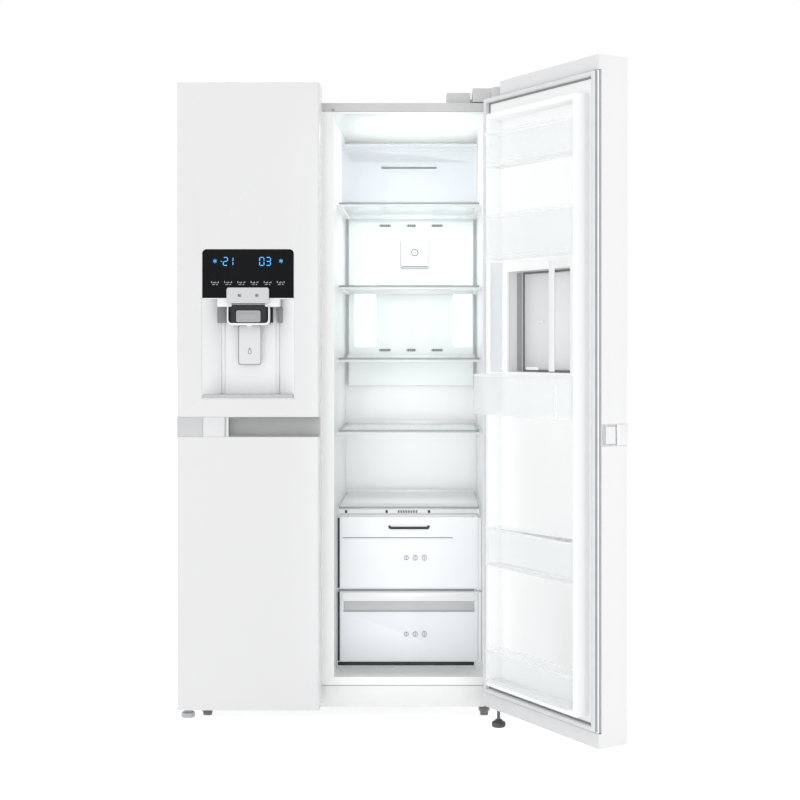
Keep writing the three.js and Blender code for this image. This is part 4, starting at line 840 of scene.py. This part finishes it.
def drawers():
    x, y, z = span("chill_drawer")
    carry("chill_drawer", drawer_clear, 1.6)
    front, centre = y[0], mid(x)
    rim = hoop(bmesh.new(), rounded(grown(x, 1.5), (front - 2, y[1]), 8),
               rounded(grown(x, -5), (front + 9, y[1] - 5), 6),
               (z[1] - 5, z[1] + 1.5), "Z")
    settle(rim, "chill_drawer_rim", rim_clear, "chill_drawer")
    place_box("chill_drawer_front_lip", drawer_clear, "chill_drawer", grown(x, -2),
              (front - 1.6, front + 1), (z[1] - 20, z[1] - 3), 0.8, 2)
    place_box("chill_drawer_handle", seam_shade_grey, "chill_drawer", about(centre, 80),
              (front - 1.5, front + 7), (z[0] + 96.5, z[0] + 103.5), 2.4, 2)

    x, y, z = span("upper_crisper")
    carry("upper_crisper", crisper_clear, 1.6)
    front, centre = y[0], mid(x)
    curve = [(-61, 3.5), (-58, -3.5), (-52, -6), (52, -6), (58, -3.5), (61, 3.5), (56, 5), (52, 0.5),
             (-52, 0.5), (-56, 5)]
    handle = prism(bmesh.new(), [(centre + a, z[1] - 29 + b) for a, b in curve], (front - 2.4, front + 7),
                   0.6)
    settle(handle, "upper_crisper_handle", shadow_plastic, "upper_crisper")
    # painted shade under the step in the crisper's front
    place_box("upper_crisper_step", seam_shade_grey, "upper_crisper", (x[0] + 8, x[1] - 74),
              (front - 0.9, front + 0.6), about(z[1] - 60, 1.3), 0.4, 1)
    icons("upper_crisper_icons", centre + 18, front, z[0] + 76, "upper_crisper")
    frame_lines("upper_crisper", x, front, (z[0] + 2, z[1] - 2))

    x, y, z = span("lower_crisper")
    # the lower crisper is given the darker copy of its clear plastic: painted shade
    carry("lower_crisper", crisper_painted_shade, 1.6)
    front, centre = y[0], mid(x)
    window = prism(bmesh.new(), rounded(grown(x, -8), (z[1] - 28, z[1] - 4), 7), (front - 1.4, front + 2),
                   0.6)
    settle(window, "lower_crisper_window", bright_plastic, "lower_crisper")
    place_box("lower_crisper_pull_back", tray_plastic, "lower_crisper", grown(x, -12.5),
              (front + 6, front + 9.6), (z[1] - 55.5, z[1] - 28.5), 0.5, 1)
    # painted shade line just below the pull's recess
    place_box("lower_crisper_line", seam_shade_grey, "lower_crisper", grown(x, -10),
              (front - 0.8, front + 0.6), about(z[1] - 58, 1.2), 0.4, 1)
    icons("lower_crisper_icons", centre + 18, front, z[0] + 66, "lower_crisper")
    frame_lines("lower_crisper", x, front, (z[0] + 2, z[1] - 2))

    carry("freezer_drawer", drawer_clear, 1.6)
    carry("ice_bin", bright_plastic, 1.6)


def frame_lines(name, x, front, z):
    """Painted shadow in the gap on a crisper's left, its pale runner on the right, and painted shadow in
    the gap under it.
    """
    # painted shadow: dark boxes stand for the shade in the gap on the left and under the crisper
    place_box(f"{name}_left_gap_shadow", shadow_plastic, "cabinet", (x[0] - 7, x[0] - 0.6),
              (front + 1.5, front + 4), z, 0.6, 1)
    place_box(f"{name}_right_runner", bright_plastic, "cabinet", (x[1] + 0.8, x[1] + 9),
              (front + 3, front + 16), z, 0.8, 1)
    under = soft_box(bmesh.new(), (x[0] - 6, x[1] - 12), (front + 3, front + 6), (z[0] - 14, z[0] - 3), 1.5,
                     2)
    look = shadow_plastic if name == "lower_crisper" else seam_shade_grey
    settle(under, f"{name}_under_gap_shadow", look, "cabinet")


def icons(name, centre, front, low, body):
    """Three small plain signs on a crisper's front, each a ring with a bar."""
    bm = bmesh.new()
    for i, offset in enumerate((-26, 0, 26)):
        outer = [(centre + offset + 7 * math.cos(a),
                  low + 14 + (7 + i) * math.sin(a)) for a in arc_angles(16)]
        inner = [(centre + offset + 5.4 * math.cos(a),
                  low + 14 + (5.4 + i) * math.sin(a)) for a in arc_angles(16)]
        hoop(bm, outer, inner, (front - 0.5, front + 0.2))
        soft_box(bm, about(centre + offset, 0.8), (front - 0.5, front + 0.2), (low + 8, low + 20))
    settle(bm, name, ink_and_slot_shade, body)


# ---- doors
HATCH_LAP = 14    # the home bar hatch laps over its opening
CAP_IN = 1.6      # the end caps lie inside the skin
CAP_FRONT = 24
CAP_PROUD = 0.15
SEAL_WIDE = 11


def door_slab(node, liner_node, gasket_node, body):
    """The painted steel skin, the plastic caps let into its ends, the liner and the magnetic seal."""
    back = place_of(body).inverted()
    x, y, z = span(node)
    plate_x, plate_y, plate_z = span(liner_node)
    seat = y[1]
    carry(node, door_paint, 0.9, f"{node}_skin")
    for word, sign, height in (("bottom", -1, plate_z[0]), ("top", 1, plate_z[1])):
        cap = merged(node)
        cap.transform(back)
        sides = (((0, 0, height + sign * 0.6), (0, 0, sign)), ((x[0] + CAP_IN, 0, 0), (1, 0, 0)),
                 ((x[1] - CAP_IN, 0, 0), (-1, 0, 0)), ((0, CAP_FRONT, 0), (0, 1, 0)))
        for point, facing in sides:
            cut = bmesh.ops.bisect_plane(cap, geom=cap.verts[:] + cap.edges[:] + cap.faces[:],
                                         plane_co=point,
                                         plane_no=facing, clear_inner=True, dist=1e-4)
            rim = [e for e in cut["geom_cut"] if isinstance(e, bmesh.types.BMEdge)]
            bmesh.ops.holes_fill(cap, edges=rim, sides=0)
        bmesh.ops.recalc_face_normals(cap, faces=cap.faces)
        bmesh.ops.translate(cap, verts=cap.verts, vec=(0, CAP_PROUD, sign * CAP_PROUD))
        settle(cap, f"{node}_{word}_cap", cap_plastic, body, (), 0.8)
    carry(liner_node, liner_plastic, 2.2)
    carry(gasket_node, gasket_rubber, 2.0)
    # painted shade: a dark line down each side of the liner's flange, in the corner where shade falls; it
    # stops under the hinge's notch on the hinge side
    hinge = "right" if node == "fridge_door" else "left"
    notch_low = span(f"{hinge}_top_hinge")[2][0] - 2
    rim = bmesh.new()
    for word, at in (("left", (plate_x[0] - 0.5, plate_x[0] + 1)),
                     ("right", (plate_x[1] - 1, plate_x[1] + 0.5))):
        high = min(notch_low, plate_z[1] - 0.3) if word == hinge else plate_z[1] - 0.3
        soft_box(rim, at, (plate_y[0] + 1.5, plate_y[0] + 5.5), (plate_z[0] + 0.3, high))
    settle(rim, f"{liner_node}_edge", seam_shade_grey, body)
    seal_x, seal_y, seal_z = span(gasket_node)
    # painted shade in the gasket's fold and in the groove inside it
    fold = hoop(bmesh.new(), rounded(grown(seal_x, 0.5), grown(seal_z, 0.5), 1.5),
                rounded(grown(seal_x, -1), grown(seal_z, -1), 1.0), (seal_y[0] + 2.5, seal_y[0] + 8))
    settle(fold, f"{gasket_node}_fold", seam_shade_grey, body)
    inner = grown(seal_x, -SEAL_WIDE)
    groove = hoop(bmesh.new(), rounded(grown(inner, 0.4), grown(seal_z, -SEAL_WIDE + 0.4), 1.5),
                  rounded(grown(inner, -5), grown(seal_z, -SEAL_WIDE - 5), 1.0),
                  (seal_y[0] - 1, seal_y[0] + 0.8))
    settle(groove, f"{gasket_node}_groove", seam_shade_grey, body)
    for i, inset in enumerate((2.4, 6.0)):
        loop = [(seal_x[0] + inset, seal_z[0] + inset), (seal_x[1] - inset, seal_z[0] + inset),
                (seal_x[1] - inset, seal_z[1] - inset), (seal_x[0] + inset, seal_z[1] - inset)]
        pipe([(a, seal_y[1] - 1.05, c) for a, c in loop], f"{gasket_node}_bead_{i + 1}", 1.1, 6.0,
             gasket_rubber, body, True)


def grip_blocks(word, pale_x, block_x, y, z):
    """The pale plate at a grip's hinge end, and the white block beside it."""
    place_box(f"{word}_grip_pale_end", grip_pale, f"{word}_door", pale_x, (-0.3, 3), z, 0.8, 2)
    place_box(f"{word}_grip_block", grip_white, f"{word}_door", block_x, (-1.2, y[1] - 6), z,
              1.6, 3)


def freezer_door_front():
    door_slab("freezer_door", "freezer_door_liner", "freezer_door_gasket", "freezer_door")
    x, y, z = span("freezer_grip")
    carry("freezer_grip", grip_dark, 0.6)
    grip_blocks("freezer", (x[0] + 0.5, x[0] + 71), (x[0] + 72, x[0] + 131), y, z)
    place_box("freezer_grip_strip", grip_white, "freezer_door", (x[0] + 136, x[0] + 142),
              (-0.8, y[1] - 6), z, 1.2, 2)
    # painted shade in the gap beside the strip and along the grip's top and bottom edges
    place_box("freezer_grip_gap", seam_shade_grey, "freezer_door", (x[0] + 130, x[0] + 137),
              (4, y[1] - 6), grown(z, -1), 0.5, 1)
    for word, at in (("top", (z[1] - 3.2, z[1] - 0.4)), ("bottom", (z[0] + 0.4, z[0] + 3.2))):
        place_box(f"freezer_grip_{word}_line", seam_shade_grey, "freezer_door",
                  (x[0] + 143, x[1] - 0.8), (0.2, 1.4), at, 0.4, 1)


def segment_digit(bm, digit, left, low, y, wide=11.5, high=22.0, thick=2.0):
    """A seven bar figure."""
    bars = {"a": (0, 2, 1), "b": (1, 1, 2), "c": (1, 0, 1), "d": (0, 0, 1), "e": (-1, 0, 1),
            "f": (-1, 1, 2),
            "g": (0, 1, 1)}
    lit = {"0": "abcdef", "1": "bc", "2": "abged", "3": "abgcd", "4": "fgbc", "8": "abcdefg",
           "-": "g"}[digit]
    half = high / 2
    for name in lit:
        kind, start, _ = bars[name]
        if kind == 0:
            z = low + start * half
            soft_box(bm, (left + thick * 0.7, left + wide - thick * 0.7), y, about(z, thick / 2), 0.3, 1)
        else:
            x = left if kind < 0 else left + wide
            soft_box(bm, about(x, thick / 2), y,
                     (low + start * half + thick * 0.6, low + (start + 1) * half - thick * 0.6),
                     0.3, 1)


def display():
    x, y, z = span("display_panel")
    carry("display_panel", display_glass, 0.7)
    front = (y[0] - 0.15, y[0] + 0.05)
    low = z[0] + 89.5
    bm = bmesh.new()
    for digit, left, wide in (("-", 49.5, 6.0), ("2", 58, 11.5), ("1", 73, 11.5), ("0", 158, 12),
                              ("3", 176, 12)):
        segment_digit(bm, digit, x[0] + left, low, front, wide)
    settle(bm, "display_figures", digit_light, "freezer_door")
    signs = bmesh.new()
    for at in (x[0] + 35, x[1] - 35):
        cz = low + 12
        for k in range(3):
            turn = math.pi * (k / 3 + 0.5)
            dx, dz = 6.0 * math.cos(turn), 6.0 * math.sin(turn)
            nx, nz = -0.6 * math.sin(turn), 0.6 * math.cos(turn)
            prism(signs, [(at - dx - nx, cz - dz - nz), (at + dx - nx, cz + dz - nz),
                          (at + dx + nx, cz + dz + nz), (at - dx + nx, cz - dz + nz)], front)
    settle(signs, "display_signs", digit_light, "freezer_door")
    tick = bmesh.new()
    for k, (wide, up) in enumerate(((1.6, 5.2), (3.4, 1.4), (1.6, 3.6), (2.6, 1.4), (1.4, 4.4))):
        soft_box(tick, (x[0] + 25 + k * 4.7, x[0] + 25 + k * 4.7 + wide), front,
                 (z[0] + 41, z[0] + 41 + up))
    rows(tick, "display_marks_upper", white_ink, "freezer_door", 6, (36.2, 0, 0))
    tick = bmesh.new()
    for k, (wide, up) in enumerate(((4.2, 1.3), (1.4, 2.8), (3.8, 1.3))):
        soft_box(tick, (x[0] + 28 + k * 5.4, x[0] + 28 + k * 5.4 + wide), front,
                 (z[0] + 36, z[0] + 36 + up))
    rows(tick, "display_marks_lower", white_ink, "freezer_door", 6, (36.2, 0, 0))


def dispenser():
    carry("dispenser_recess", recess_plastic, 1.2)
    carry("dispenser_nozzle", nozzle_plastic_and_shadow, 1.0)
    carry("dispenser_lever", lever_plastic, 1.2)
    carry("drip_tray", tray_plastic, 0.7)
    x, y, z = span("dispenser_recess")
    centre = mid(x)
    deep = y[1] - 2.6
    for word, at in (("left", centre - 76), ("right", centre + 76)):
        place_box(f"dispenser_{word}_rib", bright_plastic, "freezer_door", about(at, 4.5),
                  (deep - 5, deep), (z[0] + 12, z[1] - 30), 2.2, 3)
    place_box("dispenser_crossbar", bright_plastic, "freezer_door", about(centre, 86),
              (6, deep), (z[1] - 24, z[1] - 0.4), 2.5, 3)
    nx, ny, nz = span("dispenser_nozzle")
    surround = hoop(bmesh.new(), rounded(grown(nx, 3), (nz[0] - 5, nz[1] - 14), 13),
                    rounded(grown(nx, -0.6), (nz[0] + 0.6, nz[1] - 15), 10), (ny[0] - 0.5, ny[0] + 16))
    settle(surround, "dispenser_surround", bright_plastic, "freezer_door")
    # painted shadow: grey patches on the recess's sloping side walls and a dark strip beside the nozzle,
    # where shade falls
    shadow_patches = (("left", -100, -66, painted_shadow_grey), ("right", 76, 94, painted_shadow_grey),
             ("middle", 58, 63, nozzle_plastic_and_shadow))
    for word, low, high, look in shadow_patches:
        place_box(f"dispenser_{word}_shadow_patch", look, "freezer_door",
                  (centre + low, centre + high), (deep - 14, deep - 0.5), (nz[0] + 2, z[1] - 24), 2.0, 3)
    sx, sy, sz = span("spout_cover")
    carry("spout_cover", spout_plastic, 1.4)
    marks = bmesh.new()
    for at in (mid(sx) - 24, mid(sx) + 24):
        soft_box(marks, about(at, 3.0), (sy[0] - 0.3, sy[0] + 0.1), about(mid(sz), 3.6), 0.5, 1)
        soft_box(marks, about(at + 5, 0.8), (sy[0] - 0.3, sy[0] + 0.1), about(mid(sz), 4.6), 0.3, 1)
    settle(marks, "spout_cover_marks", ink_and_slot_shade, "freezer_door")
    lx, ly, lz = span("dispenser_lever")
    place_box("dispenser_lever_pad", lever_plastic, "ice_lever", (lx[0] + 9, lx[1] - 9),
              (ly[0] - 1.4, ly[0] + 1), (lz[0] + 7, lz[1] - 8), 1.2, 3)
    px, py, pz = span("dispenser_paddle")
    carry("dispenser_paddle", grip_white, 1.4)
    # painted shade in the gap round the paddle
    edge = hoop(bmesh.new(), rounded(grown(px, -1), (pz[0] + 1, pz[1] - 18), 7),
                rounded(grown(px, -3), (pz[0] + 3, pz[1] - 20), 6),
                (py[0] - 0.7, py[0] + 0.3))
    settle(edge, "dispenser_paddle_line", seam_shade_grey, "water_paddle")
    icon = bmesh.new()
    drop = [(0, 12), (3.4, 5), (5.2, -1), (4.2, -5), (0, -7.4), (-4.2, -5), (-5.2, -1), (-3.4, 5)]
    small = [(a * 0.72, b * 0.72 - 0.6) for a, b in drop]
    hoop(icon, [(mid(px) + a, pz[0] + 38 + b) for a, b in drop],
         [(mid(px) + a, pz[0] + 38 + b) for a, b in small],
         (py[0] - 0.4, py[0] + 0.2))
    settle(icon, "dispenser_paddle_drop", ink_and_slot_shade, "water_paddle")
    ring = hoop(bmesh.new(), [(centre + 9 * math.cos(a), 28 + 9 * math.sin(a)) for a in arc_angles(20)],
                [(centre + 6.5 * math.cos(a), 28 + 6.5 * math.sin(a)) for a in arc_angles(20)],
                (nz[0] - 8, nz[0] + 2), "Z")
    settle(ring, "water_outlet", bright_plastic, "freezer_door")


def fridge_door_front():
    door_slab("fridge_door", "fridge_door_liner", "fridge_door_gasket", "fridge_door")
    x, y, z = span("fridge_grip")
    carry("fridge_grip", grip_dark, 0.6)
    grip_blocks("fridge", (x[1] - 71, x[1] - 0.5), (x[1] - 131, x[1] - 72), y, z)
    place_box("fridge_grip_end", grip_white, "fridge_door", (x[0] - 0.9, x[0] + 1.5),
              (1.5, y[1] - 0.5), z, 0.6, 2)
    deep = span("fridge_door_liner")[1][0]
    place_box("fridge_grip_end_plate", bright_plastic, "fridge_door", (x[0] - 1.0, x[0] + 0.6),
              (30, deep - 1), grown(z, -1), 0.4, 1)
    place_box("fridge_grip_end_pad", grip_white, "fridge_door", (x[0] - 1.5, x[0] - 0.8),
              (deep - 44, deep - 14), grown(z, -6), 0.4, 1)
    # painted shade lines where the grip's groove meets the door's end
    for word, at in (("top", z[1]), ("bottom", z[0])):
        place_box(f"fridge_grip_end_{word}_line", trim_grey_and_seam_shade, "fridge_door",
                  (x[0] - 1.2, x[0] + 0.4), (deep - 64, deep), about(at, 1.2), 0.3, 1)


def basket(node):
    """A clear door basket with a thick rim, a base ledge and a bead along its front."""
    x, y, z = span(node)
    carry(node, basket_clear, 1.4)
    rim = hoop(bmesh.new(), rounded(grown(x, 0.4), (y[0] - 0.1, y[1] + 2.0), 8),
               rounded(grown(x, -4.2), (y[0] + 3.6, y[1] - 3.6), 4),
               (z[1] - 6, z[1] + 0.8), "Z")
    settle(rim, f"{node}_rim", rim_clear, "fridge_door")
    bead = [(x[0] + 3, y[1] + 0.6, z[0] + 10), (x[1] - 3, y[1] + 0.6, z[0] + 10)]
    pipe(bead, f"{node}_bead", 1.3, 0.0, rim_clear, "fridge_door")
    place_box(f"{node}_base", rim_clear, "fridge_door", grown(x, -1),
              (y[0] + 2, y[1] + 0.8), (z[0] - 0.5, z[0] + 3), 0.8, 2)


def home_bar():
    x, y, z = span("home_bar_case")
    hatch_x, hatch_y, hatch_z = span("home_bar_door")
    opening_x, opening_z = grown(hatch_x, -HATCH_LAP), grown(hatch_z, -HATCH_LAP)
    liner_front = span("fridge_door_liner")[1][0]
    # the case is clear, with a pale bin below and a smoked wall on the hinge side
    carry("home_bar_case", window_clear, 1.4)
    place_box("home_bar_hinge_side_wall", smoke_clear, "fridge_door",
              (x[1] - 3.6, x[1] + 0.2), (y[0] - 0.4, y[0] + 38.4), (opening_z[0] - 2, z[1] + 0.4), 1.2, 2)
    bin_top = opening_z[0] - 6
    pale = hoop(bmesh.new(), rounded(grown(x, 0.4), (y[0] - 0.4, y[1] + 0.6), 7),
                rounded(grown(x, -3.4), (y[0] + 3.2, y[1] - 3.6), 4), (z[0] - 0.4, bin_top), "Z")
    settle(pale, "home_bar_bin_walls", bin_clear, "fridge_door")
    lip = hoop(bmesh.new(), rounded(grown(x, 0.8), (y[0] - 0.4, y[1] + 1.4), 8),
               rounded(grown(x, -4.2), (y[0] + 4, y[1] - 3.8), 5), (bin_top - 6, bin_top + 0.6), "Z")
    settle(lip, "home_bar_bin_rim", rim_clear, "fridge_door")
    inner = hatch_y[1]
    seal = hoop(bmesh.new(), rounded(grown(opening_x, -0.4), grown(opening_z, -0.4), 2),
                rounded(grown(opening_x, -5.2), grown(opening_z, -5.2), 2), (inner - 2, inner + 2.4))
    settle(seal, "home_bar_seal", shadow_plastic, "home_bar_door")
    # painted shade along one side of the hatch opening's tunnel
    place_box("home_bar_tunnel_strip", seam_shade_grey, "fridge_door",
              (opening_x[1] - 0.8, opening_x[1] + 0.4), (inner + 7, inner + 23), grown(opening_z, -2), 0.3,
              1)
    carry("home_bar_flap", window_clear, 1.0)
    fx, fy, fz = span("home_bar_flap")
    place_box("home_bar_flap_pull", bright_plastic, "home_bar_flap", about(mid(fx), 26),
              (fy[0] - 4, fy[0] + 1), (fz[0] + 4, fz[0] + 12), 1.6, 2)
    carry("home_bar_door", door_paint, 1.6)
    place_box("home_bar_flap_rib", bright_plastic, "home_bar_flap",
              (opening_x[0] + 18, opening_x[0] + 42), (fy[1] - 0.5, fy[1] + 1.4), grown(fz, -1), 0.8, 2)
    # the hatch's inner lining: a shallow grey panel with its latch, and pale bands beside it
    parts = (("panel", 161, 259, cap_plastic, 1.6), ("band", 136, 160, bright_plastic, 4.0),
             ("far_panel", 8, 135, bright_plastic, 1.6))
    for word, low, high, look, proud in parts:
        place_box(f"home_bar_door_{word}", look, "home_bar_door",
                  (opening_x[0] + low, opening_x[0] + high), (inner - 1, inner + proud),
                  grown(opening_z, -7), 0.8, 2)
    place_box("home_bar_latch", bright_plastic, "home_bar_door",
              about(opening_x[0] + 196, 14), (inner, inner + 6), about(mid(opening_z), 3.4), 1.5, 2)


cabinet_outside()
cabinet_back()
machine_room()
hinges()
legs_and_rollers()
compartment_walls()
lamp()
shelves()
drawers()
freezer_door_front()
display()
dispenser()
fridge_door_front()
for number in range(4):
    basket(f"door_basket_{number + 1}")
home_bar()


# ---- stage, light and camera
def stage():
    bm = bmesh.new()
    corners = [bm.verts.new(p) for p in ((-60, -60, 0), (60, -60, 0), (60, 60, 0), (-60, 60, 0))]
    bm.faces.new(corners)
    mesh = bpy.data.meshes.new("floor")
    bm.to_mesh(mesh)
    bm.free()
    floor = bpy.data.objects.new("floor", mesh)
    bpy.context.scene.collection.objects.link(floor)
    mesh.materials.append(finish("floor_white", (0.95, 0.95, 0.95, 1), 0.9, (0.94, 0.94, 0.94, 1),
                                 specular=0.0,
                                 glow=0.3))
    tree = mesh.materials[0].node_tree
    seen = tree.nodes.new("ShaderNodeLightPath").outputs["Is Camera Ray"]
    lift = tree.nodes.new("ShaderNodeMath")
    lift.operation = "MULTIPLY_ADD"
    lift.inputs[1].default_value = 0.5
    lift.inputs[2].default_value = 0.3
    tree.links.new(seen, lift.inputs[0])
    tree.links.new(lift.outputs[0], tree.nodes["Principled BSDF"].inputs["Emission Strength"])


def area_light(name, spot, aim, size, power, size_y=None, spread=180):
    data = bpy.data.lights.new(name, "AREA")
    data.energy = power
    data.size = size
    data.spread = math.radians(spread)
    if size_y:
        data.shape = "RECTANGLE"
        data.size_y = size_y
    light = bpy.data.objects.new(name, data)
    bpy.context.scene.collection.objects.link(light)
    light.location = spot
    light.rotation_euler = (Vector(aim) - Vector(spot)).to_track_quat("-Z", "Y").to_euler()


CAMERA_SPOT = (242, -3874, 1063.5)    # level, a little above the middle of the doors
LENS = 63.3
SHIFT = (-0.0375, -0.0675)


def light_and_camera():
    scene = bpy.context.scene
    world = bpy.data.worlds.new("studio")
    scene.world = world
    world.use_nodes = True
    world.node_tree.nodes["Background"].inputs["Color"].default_value = (1, 1, 1, 1)
    world.node_tree.nodes["Background"].inputs["Strength"].default_value = 1.0
    scene.view_settings.view_transform = "Standard"
    cool_x, cool_y, cool_z = span("fridge_liner")
    lamp_x, lamp_y, lamp_z = span("ceiling_lamp")
    lamp_spot = STAND @ Vector((mid(lamp_x), mid(lamp_y), lamp_z[0] - 4))
    area_light("ceiling_lamp_light", lamp_spot, (lamp_spot.x, lamp_spot.y, 0), 0.2, 0.8, 0.05)
    shelf_spot = STAND @ Vector((mid(cool_x), cool_y[0] + 190, 1035))
    area_light("shelf_light", shelf_spot, shelf_spot + Vector((0, 1, 0)), 0.36, 0.5, 0.86)
    roof_spot = STAND @ Vector((mid(cool_x), cool_y[0] + 230, 1652))
    area_light("ceiling_light", roof_spot, roof_spot + Vector((0, 0, 1)), 0.36, 0.16, 0.4)
    fill_spot = STAND @ Vector((mid(cool_x), -700, 900))
    area_light("compartment_fill", fill_spot, fill_spot + Vector((0, 1, 0)), 0.44, 0.36, 1.6, 30)
    door_x, door_y, door_z = span("fridge_door")
    edge = DOOR @ Vector((door_x[0], mid(door_y), mid(door_z)))
    out = (edge - PIN).normalized()
    edge_spot = Vector((edge.x, edge.y, edge.z)) + Vector((out.x, out.y, 0)) * 2.2
    area_light("door_edge_light", edge_spot, edge, 0.1, 0.1, 1.8, 8)
    data = bpy.data.cameras.new("camera")
    data.lens = LENS
    data.sensor_width = 36
    data.shift_x, data.shift_y = SHIFT
    camera = bpy.data.objects.new("camera", data)
    scene.collection.objects.link(camera)
    camera.location = STAND @ Vector(CAMERA_SPOT)
    camera.rotation_euler = (math.pi / 2, 0, 0)
    scene.camera = camera


stage()
light_and_camera()
